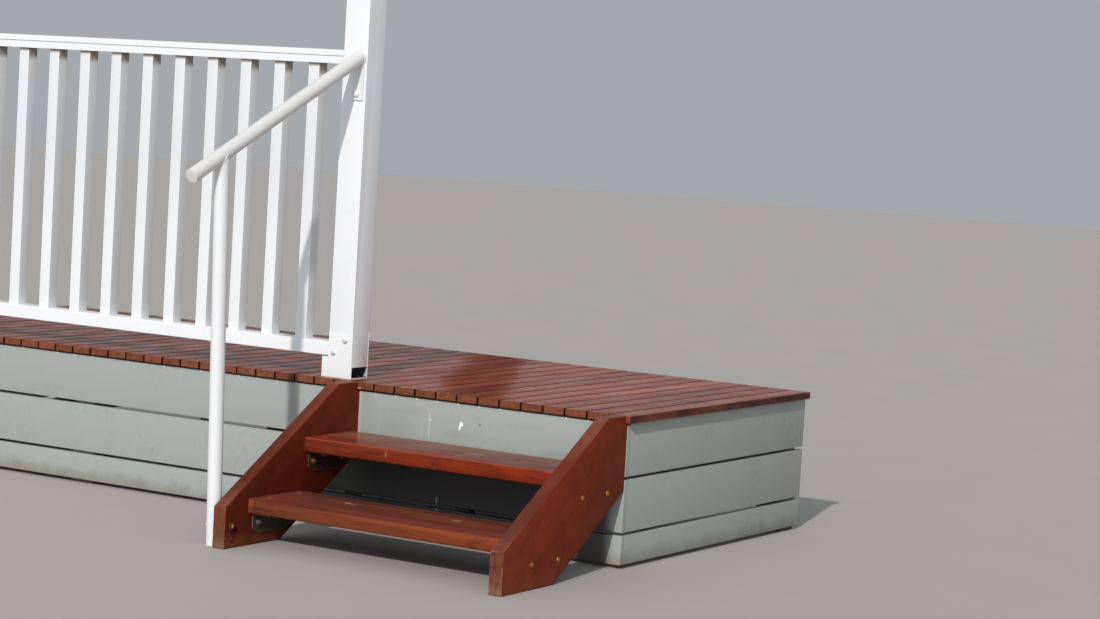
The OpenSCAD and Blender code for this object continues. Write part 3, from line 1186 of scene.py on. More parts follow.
@dataclass(frozen=True)
class FasciaPaint(Paint):
    """The fascia's grey-green paint with its drips, chip, nail hole, and the boards' shadow painted along its
    top with painted sunlight under the joints between them.
    """

    chalk: Colour = (0.62, 0.64, 0.60)
    drips: Marks = (((299.2, 338.3), (2.0, 50.0), 0.55), ((272.7, 318.0), (1.6, 34.0), 0.22),
                    ((591.3, 340.0), (3.0, 30.0), 0.07), ((568.5, 342.0), (2.5, 34.0), 0.06),
                    ((615.3, 353.9), (3.0, 28.0), 0.05), ((120.1, 340.0), (3.0, 60.0), 0.10))
    smudges: Marks = (((243.8, 374.4), (80.0, 22.0), 0.22), ((388.6, 320.4), (50.0, 22.0), 0.22),
                      ((744.3, 302.0), (70.0, 22.0), 0.22), ((180.0, 330.0), (90.0, 50.0), 0.20),
                      ((633.2, 374.1), (110.0, 18.0), 0.16), ((853.2, 331.7), (70.0, 34.0), 0.16))
    rub: Colour = (0.62, 0.54, 0.45)
    rub_x: Pair = (42.0, 51.0)
    primer: Colour = (0.92, 0.93, 0.90)
    chipped: Marks = (((412.5, 354.3), (7.0, 7.5), 1.0), ((407.9, 343.4), (3.5, 9.0), 1.0))
    dotted: Marks = (((304.0, 356.0), (2.0, 2.6), 1.0),)
    hole: Mark = Mark(Border.HOLE, (478.4, 359.0), (2.6, 2.6), 1.0, (0.03, 0.03, 0.03))
    painted_overhang_shadow: Colour = (0.012, 0.008, 0.006)
    painted_sun_spot: Colour = (0.88, 0.78, 0.56)

    def marked(self, graph: Graph, colour: Field) -> Field:
        """Adds the drips, the smudges, the white chip, the dark hole and the painted shadow along the top.

        Args:
            graph: The material being made.
            colour: The paint so far.

        Returns:
            The marked paint.
        """
        across, _, high = graph.flight
        colour = colour.marked([Mark(Border.SMUDGE, *row, self.dirt) for row in self.smudges], across, high)
        colour = colour.marked([Mark(Border.DRIP, *row, self.chalk) for row in self.drips], across, high)
        colour = colour.laid(self.rub, across.band(*self.rub_x, 2.0) * 0.4)
        bare = [Mark(Border.CHIP, *row, self.primer) for row in self.chipped]
        bare += [Mark(Border.DOT, *row, self.primer) for row in self.dotted]
        colour = colour.laid(self.primer, graph.most(*(mark.spot(across, high) for mark in bare)))
        return self.with_painted_overhang_shade(graph, colour.marked([self.hole], across, high))

    def with_painted_overhang_shade(self, graph: Graph, colour: Field) -> Field:
        """Paints the overhanging boards' shadow along the top, with a painted spot of sunlight under each
        joint between the boards.

        Args:
            graph: The material being made.
            colour: The paint so far.

        Returns:
            The paint with its top.
        """
        _, _, high = graph.flight
        # Painted shade, in the dirt colour, deepening up to the shadow line.
        colour = colour.laid(self.dirt, high.range(408.0, 413.5, 0.0, 0.3))
        # Painted shadow of the overhanging board ends along the top.
        colour = colour.laid(self.painted_overhang_shadow, high.range(413.4, 414.8))
        # Painted sunlight: pale spots under some of the joints between the deck boards.
        some = graph.place.stretched(23, 0, 0).noise(detail=2.0).range(0.38, 0.58, 0.15, 0.95)
        gaps = graph.inside_board.under(-1.4, 0.2)
        return colour.laid(self.painted_sun_spot, gaps * high.band(409.5, 414.5, 0.9) * some)


@dataclass(frozen=True)
class BasePaint(Paint):
    """The base boards' paint, splashed with dirt low down, with one white drip between the treads, and
    painted shade behind the flight.
    """

    roughness: float = 0.55
    grime: float = 0.45
    earth: Colour = (0.20, 0.17, 0.13)
    painted_shade_ramp: Stops = ((0.40, (0.052, 0.042, 0.037)), (0.60, (0.036, 0.029, 0.026)),
                      (0.72, (0.024, 0.016, 0.014)), (0.90, (0.019, 0.009, 0.007)))
    shade_x: Pair = (-110.0, 934.0)
    shade_soft: float = 22.0
    shade_top: float = 220.0
    painted_gap_shade: Colour = (0.003, 0.002, 0.002)
    gap_z: Pair = (95.2, 107.8)
    drip: Colour = (0.75, 0.76, 0.74)
    drip_run: Pair = (340.0, 117.0)
    drip_foot: Pair = (342.0, 91.5)
    drip_share: float = 0.33

    def marked(self, graph: Graph, colour: Field) -> Field:
        """Splashes the low edge, paints shade over what stands behind the flight, darkens the joint between
        the boards there as painted shade, and runs the drip over the two boards.

        Args:
            graph: The material being made.
            colour: The paint so far.

        Returns:
            The marked paint.
        """
        across, deep, high = graph.flight
        ragged = graph.place.noise(16.0, detail=5.0, rough=0.65) * 90.0 + high
        colour = colour.laid(self.earth, ragged.range(50.0, 105.0, 0.6, 0.0))
        front = deep.under(15.0, 17.0)
        # Painted shade behind the flight, darker up under the upper tread and towards the left.
        shaded_zone = across.band(*self.shade_x, self.shade_soft)
        painted_flight_shade = (high / self.shade_top).ramp(self.painted_shade_ramp).shaded(across.range(40.0, 430.0, 0.38, 1.0))
        colour = colour.laid(painted_flight_shade, shaded_zone * front * 0.96)
        # Painted shade: the boards' edges at the joint behind the flight are made very dark.
        colour = colour.laid(self.painted_gap_shade, shaded_zone * high.band(*self.gap_z, 0.6))
        runs = (Mark(Border.RUN, self.drip_run, (3.2, 15.0), self.drip_share, self.drip),
                Mark(Border.SPLASH, self.drip_foot, (5.0, 3.5), self.drip_share, self.drip))
        return colour.laid(self.drip, graph.most(*(run.spot(across, high) for run in runs)) * front)


@dataclass(frozen=True)
class Sawn(Finish):
    """Plain sawn structural timber, greyed by weather, with saw marks across its grain."""

    along: Along
    dark: Colour = (0.17, 0.125, 0.075)
    light: Colour = (0.36, 0.285, 0.18)
    grey: Colour = (0.24, 0.225, 0.20)
    wet: Colour = (0.06, 0.045, 0.03)
    damp: float = 0.0

    def sockets(self, graph: Graph) -> dict[str, Any]:
        """Puts the rings, the weather, the damp foot and the saw marks together.

        Args:
            graph: The material being made.

        Returns:
            What each input of the shader gets.
        """
        space = graph.place.turned(self.along.value)
        rings = space.stretched(1.2, 42, 42).noise(detail=4.0, rough=0.55, twist=0.9)
        fine = space.stretched(10, 300, 300).noise(detail=3.0, rough=0.6)
        saw = space.stretched(330, 3, 3).noise(detail=2.0)
        colour = rings.ramp(((0.36, self.dark), (0.52, self.light), (0.62, darker(self.light, 0.8))))
        weather = graph.place.noise(5.0, detail=5.0, rough=0.6).range(0.38, 0.66, 0.15, 0.8)
        colour = colour.laid(self.grey, weather)
        _, _, high = graph.flight
        rising = graph.place.noise(14.0, detail=5.0, rough=0.65) * 80.0 + high
        return {"Base Color": colour.laid(self.wet, rising.range(60.0, 130.0, self.damp, 0.0)),
                "Roughness": 0.85,
                "Normal": (fine * 0.6 + saw * 0.5).relief(0.6 * MM, 0.6)}


@dataclass(frozen=True)
class Metal(Finish):
    """Zinc, brass or bronze, dulled and spotted with rust, with painted highlights along its edges where
    asked for.
    """

    base: Colour
    rust: Colour = (0.10, 0.035, 0.012)
    rusty: float = 0.4
    metallic: float = 0.75
    roughness: float = 0.42
    # The colour of the painted edge highlights.
    edge: Colour = (0.50, 0.24, 0.07)
    edge_highlight_share: float = 0.0
    highlight_x: float = 0.0

    def sockets(self, graph: Graph) -> dict[str, Any]:
        """Puts the spangle, the rust and the painted edge highlights together.

        Args:
            graph: The material being made.

        Returns:
            What each input of the shader gets.
        """
        spangle = graph.place.noise(130.0, detail=3.0, rough=0.6).range(0.35, 0.65, 0.0, 0.35)
        spread = graph.place.noise(38.0, detail=5.0, rough=0.65)
        colour = graph.blend(spangle, self.base, darker(self.base, 0.6))
        colour = colour.laid(self.rust, spread.range(0.46, 0.62, 0.0, self.rusty))
        # Painted highlight: the edge colour laid along the arrises, and past a line across the piece.
        colour = colour.laid(self.edge, graph.arris * self.edge_highlight_share)
        if self.highlight_x > 0:
            across, _, _ = graph.flight
            colour = colour.laid(self.edge, across.range(self.highlight_x, self.highlight_x + 0.6))
        return {"Base Color": colour,
                "Metallic": self.metallic,
                "Roughness": spread.range(0.35, 0.7, self.roughness, self.roughness + 0.3),
                "Normal": spread.relief(0.3 * MM, 0.4)}


# Fixings, each modelled once, standing on its seat along Z

def turn_up(name: str, rings: Sequence[Pair], sides: int = 28) -> Piece:
    """Turns a solid up from its foot, ring by ring, as on a lathe.

    Args:
        name: The piece's name.
        rings: Radius and height of each ring, in millimetres, from the foot up.
        sides: Number of sides around it.

    Returns:
        The new object, closed at both ends.
    """
    (reach, level), *rest = rings
    clear_selection()
    bpy.ops.mesh.primitive_circle_add(vertices=sides, radius=reach * MM, fill_type="NGON",
                                      location=(0, 0, level * MM), enter_editmode=True)
    for radius, height in rest:
        bpy.ops.mesh.extrude_region_move(TRANSFORM_OT_translate={"value": (0, 0, (height - level) * MM)})
        share = radius / reach
        bpy.ops.transform.resize(value=(share, share, 1.0), center_override=(0.0, 0.0, 0.0))
        reach, level = radius, height
    bpy.ops.mesh.select_all(action="SELECT")
    bpy.ops.mesh.normals_make_consistent(inside=False)
    bpy.ops.object.mode_set(mode="OBJECT")
    piece = bpy.context.object
    piece.name = name
    return settle(piece)


@dataclass(frozen=True)
class CupBolt:
    """The domed head of a cup bolt, with its outline as shares of its half width and its rise."""

    across: float
    rise: float
    sunk: Pair = (0.98, -0.4)
    outline: tuple[Pair, ...] = ((1.0, 0.0), (1.0, 0.14), (0.95, 0.35), (0.82, 0.62), (0.60, 0.84),
                                 (0.32, 0.96), (0.08, 1.0))

    def model(self) -> Piece:
        """Models one head.

        Returns:
            The head, seated at the origin.
        """
        half = self.across / 2
        rings = [(half * self.sunk[0], self.sunk[1])]
        rings += [(half * out, self.rise * up) for out, up in self.outline]
        return smooth(turn_up("cup_head", rings), 50.0)


@dataclass(frozen=True)
class NutAndWasher:
    """A washer, a hexagon nut, and the end of the bolt with its thread."""

    washer: float = 22.0
    flats: float = 16.0
    shank: float = 9.6
    washer_t: float = 1.8
    nut_t: float = 8.0
    threads: int = 4
    thread_pitch: float = 1.3
    thread_deep: float = 0.6

    def model(self) -> Piece:
        """Models the three as one piece.

        Returns:
            The piece, standing on the origin.
        """
        half, top = self.washer / 2, self.washer_t + self.nut_t
        washer = turn_up("washer", [(half - 0.2, -0.3), (half, 0.0), (half, self.washer_t - 0.3),
                                    (half - 0.3, self.washer_t), (half * 0.5, self.washer_t)])
        corner, core = self.flats / math.sqrt(3.0), self.shank / 2
        nut = turn_up("nut", [(corner - 0.9, self.washer_t - 0.1), (corner, self.washer_t + 0.7),
                              (corner, top - 0.9), (corner - 1.0, top), (core + 0.6, top),
                              (core + 0.2, top - 0.5)], 6)
        rings = [(core, top - 1.0)]
        for turn in range(self.threads):
            foot = top + 0.2 + turn * self.thread_pitch
            rings += [(core, foot), (core - self.thread_deep, foot + self.thread_pitch / 2)]
        rings.append((core - 2 * self.thread_deep, top + 0.6 + self.threads * self.thread_pitch))
        return smooth(join("nut_and_washer", [smooth(washer), nut, turn_up("shank", rings, 20)]), 25.0)


@dataclass(frozen=True)
class DeckScrew:
    """A countersunk deck screw, its head just below the board's face, with a round drive."""

    across: float = 7.6

    def model(self) -> Piece:
        """Models one head.

        Returns:
            The head, seated at the origin.
        """
        half = self.across / 2
        return turn_up("deck_screw", [(half, -0.7), (half, 0.15), (half * 0.86, 0.3), (half * 0.46, 0.3),
                                      (half * 0.36, -0.45)], 10)


# Sub-assemblies

@dataclass
class Stringers:
    """The two closed stringers, with plumb toes, level feet and heads notched for the deck boards."""

    arris: float = 2.5
    foot_bolt: Pair = (-595.0, 63.6)

    def build(self) -> None:
        """Copies the two boards and takes their arrises off."""
        self.boards = eased_copies(("left_stringer", "right_stringer"), "{}_board", self.arris)

    def dress(self) -> None:
        """Oils the two boards."""
        left = StringerOil(
            "left_stringer_oil", wear=0.15,
            slope=((0.02, (0.165, 0.050, 0.031)), (0.22, (0.112, 0.0225, 0.011)),
                   (0.76, (0.150, 0.0370, 0.022)), (0.90, (0.215, 0.0820, 0.050))),
            side=((0.04, (0.088, 0.0150, 0.007)), (0.26, (0.085, 0.0155, 0.0075)),
                  (0.52, (0.118, 0.0165, 0.0080)), (0.90, (0.165, 0.025, 0.010))),
            toe=((0.04, (0.185, 0.098, 0.064)), (0.29, (0.145, 0.056, 0.031)),
                 (0.62, (0.150, 0.048, 0.025)), (0.92, (0.155, 0.050, 0.026))),
            blots=(Mark(Border.BLOT, (-455.0, 60.0), (60.0, 26.0), 0.35, (0.17, 0.035, 0.018)),),
            stains_and_shadow=bolt_stains_and_shadow(*self.foot_bolt, 0.75))
        right = StringerOil(
            "right_stringer_oil", wear=0.55, middle_x=955.0,
            slope=((0.02, (0.165, 0.051, 0.034)), (0.17, (0.113, 0.0300, 0.019)),
                   (0.50, (0.132, 0.0270, 0.014)), (0.90, (0.195, 0.0720, 0.043))),
            side=((0.04, (0.170, 0.032, 0.0140)), (0.33, (0.185, 0.029, 0.011)),
                  (0.90, (0.175, 0.027, 0.010))),
            toe=((0.04, (0.250, 0.125, 0.080)), (0.27, (0.180, 0.070, 0.042)),
                 (0.62, (0.128, 0.043, 0.022)), (0.92, (0.155, 0.050, 0.028))),
            foot=(0.22, 0.048, 0.024), foot_share=0.7,
            blots=(Mark(Border.BLOT, (-600.0, 96.0), (34.0, 26.0), 0.55, (0.085, 0.018, 0.010)),
                   Mark(Border.BLOT, (-545.0, 112.0), (40.0, 22.0), 0.35, (0.10, 0.018, 0.009))))
        for (node, board), oil in zip(self.boards.items(), (left, right)):
            put_on(board, oil, Slot.STRINGER, node)


@dataclass
class Treads:
    """The two treads, rounded along their edges, with the heads of the bolts that hold them down."""

    lower_bolts: tuple[Pair, ...] = ((72.0, -461.0), (72.0, -320.0), (904.0, -461.0), (904.0, -320.0))
    upper_bolts: tuple[Pair, ...] = ((83.0, -222.0), (83.0, -77.0), (893.0, -222.0), (893.0, -77.0))
    head: CupBolt = CupBolt(across=19.0, rise=2.6)

    def build(self) -> None:
        """Copies the boards, smooths their rounded edges and models the bolt heads."""
        self.boards = {}
        places = []
        for node, bolts in (("lower_tread", self.lower_bolts), ("upper_tread", self.upper_bolts)):
            self.boards[node] = smooth(copy_node(node, f"{node}_board"), 40.0)
            places += [facing(DATUM.at(x, y, DATUM.high(node).z), (0, 0, 1)) for x, y in bolts]
        self.heads = lay_out("tread_bolt_heads", self.head.model(), places)

    def dress(self) -> None:
        """Oils the boards and the heads."""
        lower = TreadOil("lower_tread_oil", pale_share=0.8,
                         scuffs=(((285.0, 158.0), (24.0, 3.6), 1.0), ((268.0, 170.0), (15.0, 3.2), 1.0),
                                 ((653.0, 153.0), (20.0, 5.0), 0.9)))
        upper = TreadOil("upper_tread_oil", front_y=-266.0, top_z=294.0, front_dark=(0.115, 0.020, 0.009),
                         front_left=(0.165, 0.024, 0.0085), front_right=(0.235, 0.028, 0.0085),
                         strip=(0.19, 0.025, 0.011), rear=(0.195, 0.068, 0.043), strip_deep=104.0,
                         strip_slant=0.02, strip_wobble=90.0, nose=(0.30, 0.13, 0.075), nose_share=0.35,
                         scuffs=(((560.0, 120.0), (40.0, 7.0), 0.5),),
                         trickles=(((333.0, 16.0), (4.0, 15.0), 0.42),), coat=0.26, rear_coat=0.24)
        for (node, board), oil in zip(self.boards.items(), (lower, upper)):
            put_on(board, oil, Slot.TREAD, node)
        oiled = Metal("oiled_bolt_head", (0.33, 0.10, 0.035), (0.12, 0.035, 0.012), rusty=0.7, metallic=0.35,
                      roughness=0.45)
        put_on(self.heads, oiled, Slot.TREAD)


@dataclass
class TreadBrackets:
    """The four steel angles under the treads' ends, with their bolts through the stringers and the treads."""

    treads: Treads
    leg_t: float = 5.0
    stringer_t: float = 42.0
    flight_w: float = 976.0
    lower_left: tuple[Pair, ...] = ((-478.6, 64.6), (-341.6, 64.6))
    upper_left: tuple[Pair, ...] = ((-228.9, 221.0), (-91.9, 221.0))
    lower_right: tuple[Pair, ...] = ((-479.0, 68.5), (-342.0, 68.5))
    upper_right: tuple[Pair, ...] = ((-230.0, 228.0), (-93.0, 228.0))
    foot_bolt: Place = (42.0, -595.0, 63.6)
    foot_shank: float = 5.6
    nut: NutAndWasher = NutAndWasher(washer=17.0, flats=13.0, shank=7.8, washer_t=1.6, nut_t=5.5, threads=2)
    foot_nut: NutAndWasher = NutAndWasher(washer=24.0, flats=13.0, shank=8.0, nut_t=4.4, threads=1)
    head: CupBolt = CupBolt(across=16.0, rise=5.0)
    arris: float = 0.7
    nodes: tuple[str, ...] = ("lower_left_bracket", "lower_right_bracket", "upper_left_bracket",
                              "upper_right_bracket")

    def side_bolts(self, left: Sequence[Pair], right: Sequence[Pair]) -> tuple[list[Matrix], list[Matrix]]:
        """Places the bolts through the stringers.

        Args:
            left: Place and height of each bolt in the left stringer.
            right: The same in the right stringer.

        Returns:
            The nuts' placements inside and the heads' placements outside.
        """
        inside = self.stringer_t + self.leg_t
        nuts = [facing(DATUM.at(inside, y, z), (1, 0, 0), 20.0 + y) for y, z in left]
        nuts += [facing(DATUM.at(self.flight_w - inside, y, z), (-1, 0, 0), y) for y, z in right]
        heads = [facing(DATUM.at(0.0, y, z), (-1, 0, 0)) for y, z in left]
        return nuts, heads + [facing(DATUM.at(self.flight_w, y, z), (1, 0, 0)) for y, z in right]

    def under_bolts(self, node: str, bolts: Sequence[Pair]) -> list[Matrix]:
        """Places the nuts under the bolts through a tread, below the angle whose node is named."""
        under = DATUM.high(node).z - self.leg_t
        return [facing(DATUM.at(x, y, under), (0, 0, -1), x + y) for x, y in bolts]

    def build(self) -> None:
        """Copies the angles, and models their nuts inside and their cup heads outside the stringers."""
        self.angles = [ease_edges(copy_node(node, node.replace("bracket", "angle")), self.arris, 1)
                       for node in self.nodes]
        low, low_heads = self.side_bolts(self.lower_left, self.lower_right)
        high, high_heads = self.side_bolts(self.upper_left, self.upper_right)
        low += self.under_bolts("lower_left_bracket", self.treads.lower_bolts)
        high += self.under_bolts("upper_left_bracket", self.treads.upper_bolts)
        self.low_nuts = lay_out("lower_bracket_nuts", self.nut.model(), low)
        self.nuts = lay_out("bracket_nuts", self.nut.model(), high)
        self.heads = lay_out("stringer_bolt_heads", self.head.model(), low_heads + high_heads)
        foot = facing(DATUM.at(*self.foot_bolt), (1, 0, 0), spin=12.0)
        self.foot = lay_out("foot_bolt_nut", self.foot_nut.model(), [foot])

    def dress(self) -> None:
        """Dresses the lower angles in dull zinc and the upper ones in browned zinc, both with painted edge
        highlights, and the bolts in yellow zinc, grey zinc and browned brass.
        """
        # Painted highlights along the angles' edges.
        low = Metal("dull_zinc", (0.075, 0.066, 0.042), (0.07, 0.022, 0.009), rusty=0.7, metallic=0.4,
                    roughness=0.5, edge_highlight_share=0.5)
        high = Metal("browned_zinc", (0.060, 0.030, 0.016), (0.05, 0.012, 0.005), rusty=0.8, metallic=0.35,
                     roughness=0.5, edge_highlight_share=0.5)
        brass = Metal("yellow_zinc", (0.40, 0.165, 0.042), (0.12, 0.04, 0.012), rusty=0.6, metallic=0.6)
        grey = Metal("grey_zinc", (0.21, 0.20, 0.175), (0.10, 0.05, 0.02), rusty=0.5, metallic=0.6,
                     roughness=0.5)
        # Painted highlight: the foot bolt's end, past the nut, is laid in the pale edge colour.
        foot = Metal("browned_brass", (0.16, 0.055, 0.014), (0.05, 0.016, 0.006), rusty=0.7, metallic=0.5,
                     roughness=0.45, edge=(0.46, 0.22, 0.070), highlight_x=self.foot_bolt[0] + self.foot_shank)
        for angle, node in zip(self.angles, self.nodes):
            put_on(angle, low if "lower" in node else high, Slot.BRACKET, node)
        fixings = ((self.nuts, brass), (self.heads, brass), (self.low_nuts, grey), (self.foot, foot))
        for piece, metal in fixings:
            put_on(piece, metal, Slot.BRACKET)


@dataclass
class FrontBoards:
    """The fascia, the two base boards under it, and the boards returned along both ends of the deck."""

    arris: float = 1.3
    grey_green: Colour = (0.33, 0.36, 0.33)
    dirt: Colour = (0.19, 0.20, 0.17)

    def build(self) -> None:
        """Copies the boards and takes their arrises off."""
        self.fascia = ease_edges(copy_node("fascia_board", "fascia_front"), self.arris)
        self.front = eased_copies(("middle_base_board", "bottom_base_board"), "painted_{}", self.arris)
        self.ends = eased_copies(("left_end_boards", "right_end_boards"), "painted_{}", self.arris)

    def dress(self) -> None:
        """Paints the boards, the fascia with its own marks."""
        colours = (self.grey_green, self.dirt)
        put_on(self.fascia, FasciaPaint("fascia_paint", *colours, grime=0.30, roughness=0.5), Slot.FRONT,
               "fascia_board")
        put_on_all(self.front, BasePaint("base_paint", *colours, chips=0.0), Slot.FRONT)
        put_on_all(self.ends, BasePaint("end_paint", *colours, chips=0.08, along=Along.DEPTH), Slot.FRONT)


@dataclass
class Deck:
    """The deck boards, each with rounded long arrises and a sawn end, and their screws into the joists."""

    board_t: float = 21.0
    arris: float = 2.2
    end_arris: float = 0.5
    screw_in: float = 15.0
    screw_step: float = 7.3
    screw_stray: float = 5.0
    end_zone: float = 20.0
    ragged: tuple[float, ...] = (0.0, 0.9, 0.3, 1.6, 0.5, 0.0, 1.2, 0.2, 0.8, 1.9, 0.4)
    runs: tuple[str, ...] = ("landing_boards", "veranda_boards")
    joists: tuple[str, ...] = ("front_joist", "second_joist", "third_joist", "rear_joist")

    def build(self) -> None:
        """Models one board of each run and one screw, and lays their copies."""
        screws = []
        self.laid = {}
        for node in self.runs:
            low, high = DATUM.low(node), DATUM.high(node)
            model = self.board(low, high)
            boards = []
            for index in range(round((high.x - low.x - BOARD_W) / BOARD_PITCH) + 1):
                left = low.x + index * BOARD_PITCH
                board = twin(model, Matrix.Translation((DATUM.at(left, 0, 0).x, 0.0, 0.0)))
                self.cut_back(board, low.y, self.ragged[(index * 5 + len(node)) % len(self.ragged)])
                boards.append(board)
                screws += self.screws_in(left, high.z)
            bpy.data.objects.remove(model)
            self.laid[node] = smooth(join(f"laid_{node}", boards), 35.0)
        self.screws = lay_out("deck_screws", DeckScrew().model(), screws)

    def screws_in(self, left: float, top: float) -> list[Matrix]:
        """Places a board's screws, two over each joist, a little off its middle as by hand.

        Args:
            left: The board's left edge, in millimetres from the flight's corner.
            top: The height of its upper face.

        Returns:
            Each screw's placement.
        """
        places = []
        for joist in self.joists:
            middle = (DATUM.low(joist).y + DATUM.high(joist).y) / 2
            for x in (left + self.screw_in, left + BOARD_W - self.screw_in):
                y = middle + (x * self.screw_step) % self.screw_stray - self.screw_stray / 2
                places.append(facing(DATUM.at(x, y, top), (0, 0, 1), spin=x))
        return places

    def board(self, low: Vector, high: Vector) -> Piece:
        """Models one board with its left edge on the middle plane, and rounds its upper arrises.

        Args:
            low: The lowest corner of its run, in millimetres from the flight's corner.
            high: The run's highest corner.

        Returns:
            The board.
        """
        start = Vector((0.0, DATUM.at(0, low.y, 0).y, (high.z - self.board_t) * MM))
        end = Vector((BOARD_W * MM, DATUM.at(0, high.y, 0).y, high.z * MM))
        piece = add_cube("deck_board", start, end)
        soften(piece, lambda middle, run: abs(run.y) > 0.9 and middle.z > end.z - MM, self.arris, 3)
        soften(piece, lambda middle, run: abs(run.y) < 0.5 and middle.y < start.y + MM, self.end_arris, 1)
        return piece

    def cut_back(self, board: Piece, front: float, cut: float) -> None:
        """Moves a board's sawn end back, as boards cut by hand differ.

        Args:
            board: The board.
            front: Where its end lies, in millimetres from the flight's corner.
            cut: How far it is moved, in millimetres.
        """
        limit = DATUM.at(0, front + self.end_zone, 0).y
        for point in board.data.vertices:
            if point.co.y < limit:
                point.co.y += cut * MM

    def dress(self) -> None:
        """Oils the boards and browns the screws."""
        put_on_all(self.laid, DeckOil("deck_oil"), Slot.DECK)
        bronze = Metal("screw_bronze", (0.10, 0.055, 0.035), (0.05, 0.02, 0.01), rusty=0.5, metallic=0.6,
                       roughness=0.5)
        put_on(self.screws, bronze, Slot.DECK)


@dataclass
class UnderFrame:
    """The joists, bearers, stumps and battens that carry the deck."""

    arris: float = 1.6
    joists: tuple[str, ...] = ("front_joist", "second_joist", "third_joist", "rear_joist")
    bearers: tuple[str, ...] = ("left_bearer", "middle_bearer", "post_bearer", "right_bearer")
    battens: tuple[str, ...] = ("left_batten", "middle_batten", "flight_batten")
    stumps: tuple[str, ...] = tuple(f"{place}_{row}_stump" for place in ("left", "middle", "post", "right")
                                    for row in ("front", "rear"))

    def build(self) -> None:
        """Copies the timbers and takes their arrises off."""
        self.timbers = [eased_copies(nodes, "sawn_{}", self.arris, 2)
                        for nodes in (self.joists, self.bearers, self.battens, self.stumps)]

    def dress(self) -> None:
        """Gives the timbers their sawn finishes."""
        # The battens' colours are made very dark as painted shade, since they stand in the dark behind the
        # base boards.
        shade_dark_batten = Sawn("batten_timber", Along.HEIGHT, (0.045, 0.045, 0.038), (0.08, 0.08, 0.068),
                           (0.06, 0.062, 0.055))
        finishes = ((Sawn("joist_timber", Along.WIDTH), Slot.FRAME),
                    (Sawn("bearer_timber", Along.DEPTH), Slot.FRAME),
                    (shade_dark_batten, Slot.FRONT),
                    (Sawn("stump_timber", Along.HEIGHT, damp=0.8), Slot.STUMP))
        for timbers, (finish, slot) in zip(self.timbers, finishes):
            put_on_all(timbers, finish, slot)


@dataclass
class Posts:
    """The two square posts and the bent steel stirrups that carry them clear of the deck."""

    bend: float = 1.6
    arris: float = 0.8
    steel_arris: float = 0.7
    head: CupBolt = CupBolt(across=17.5, rise=7.0)
    front_heads: tuple[Pair, ...] = ((18.8, 519.0), (61.6, 558.7))
    white: Colour = (0.84, 0.86, 0.87)
    steel_white: Colour = (0.795, 0.812, 0.812)
    grime: Colour = (0.42, 0.40, 0.35)
    primer: Colour = (0.40, 0.38, 0.36)

    def build(self) -> None:
        """Copies the posts and the stirrups, rounds the stirrups' bends and bolts them."""
        self.posts = eased_copies(("stair_post", "end_post"), "painted_{}", self.arris, 2)
        self.stirrups = {}
        heads, nuts = [], []
        for post, mirrored in (("stair_post", False), ("end_post", True)):
            node = f"{post}_stirrup"
            low, high = DATUM.low(node), DATUM.high(node)
            self.stirrups[node] = self.bent(node, low, high)
            left, width = DATUM.low(post).x, DATUM.high(post).x - DATUM.low(post).x
            for x, z in self.front_heads:
                across = left + (width - x if mirrored else x)
                heads.append(facing(DATUM.at(across, low.y, z), (0, -1, 0)))
                nuts.append(facing(DATUM.at(across, high.y, z), (0, 1, 0), z))
        self.heads = lay_out("stirrup_bolt_heads", self.head.model(), heads)
        self.nuts = lay_out("stirrup_nuts", NutAndWasher().model(), nuts)

    def bent(self, node: str, low: Vector, high: Vector) -> Piece:
        """Copies a stirrup and rounds the bends along its base plate.

        Args:
            node: The stirrup's node.
            low: Its lowest corner, in millimetres from the flight's corner.
            high: Its highest corner.

        Returns:
            The stirrup.
        """
        foot, front, back = low.z * MM, DATUM.at(0, low.y, 0).y, DATUM.at(0, high.y, 0).y
        piece = copy_node(node, f"bent_{node}")
        soften(piece, lambda middle, run: abs(run.x) > 0.9 and middle.z < foot + MM
               and (middle.y < front + MM or middle.y > back - MM), self.bend)
        return ease_edges(piece, self.steel_arris, 1)

    def dress(self) -> None:
        """Paints the posts, the stirrups and their bolts."""
        timber = PostPaint("post_white", self.white, self.grime, along=Along.HEIGHT)
        steel = PostPaint("stirrup_white", self.steel_white, self.grime, self.primer, brush=0.25, chips=0.15)
        put_on_all(self.posts, timber, Slot.WHITE)
        put_on_all(self.stirrups, steel, Slot.STIRRUP)
        put_on(self.heads, steel, Slot.STIRRUP)
        put_on(self.nuts, steel, Slot.STIRRUP)


@dataclass
class Balustrade:
    """The top rail with its wider cap, the bottom rail, and the square balusters between them."""

    crease: float = 35.0
    arris: float = 0.5
    white: Colour = (0.80, 0.815, 0.82)
    grime: Colour = (0.42, 0.40, 0.35)

    def build(self) -> None:
        """Copies the rails and the balusters, and smooths their arrises."""
        self.rails = {node: smooth(copy_node(node, f"painted_{node}"), self.crease)
                      for node in ("top_rail", "bottom_rail")}
        self.balusters = eased_copies(("balusters",), "painted_{}", self.arris, 2)

    def dress(self) -> None:
        """Paints the rails and the balusters."""
        colours = (self.white, self.grime)
        put_on_all(self.rails, Paint("rail_white", *colours, roughness=0.36, grime=0.14), Slot.WHITE)
        uprights = BalusterPaint("baluster_white", *colours, roughness=0.38, grime=0.12, along=Along.HEIGHT)
        put_on_all(self.balusters, uprights, Slot.WHITE)


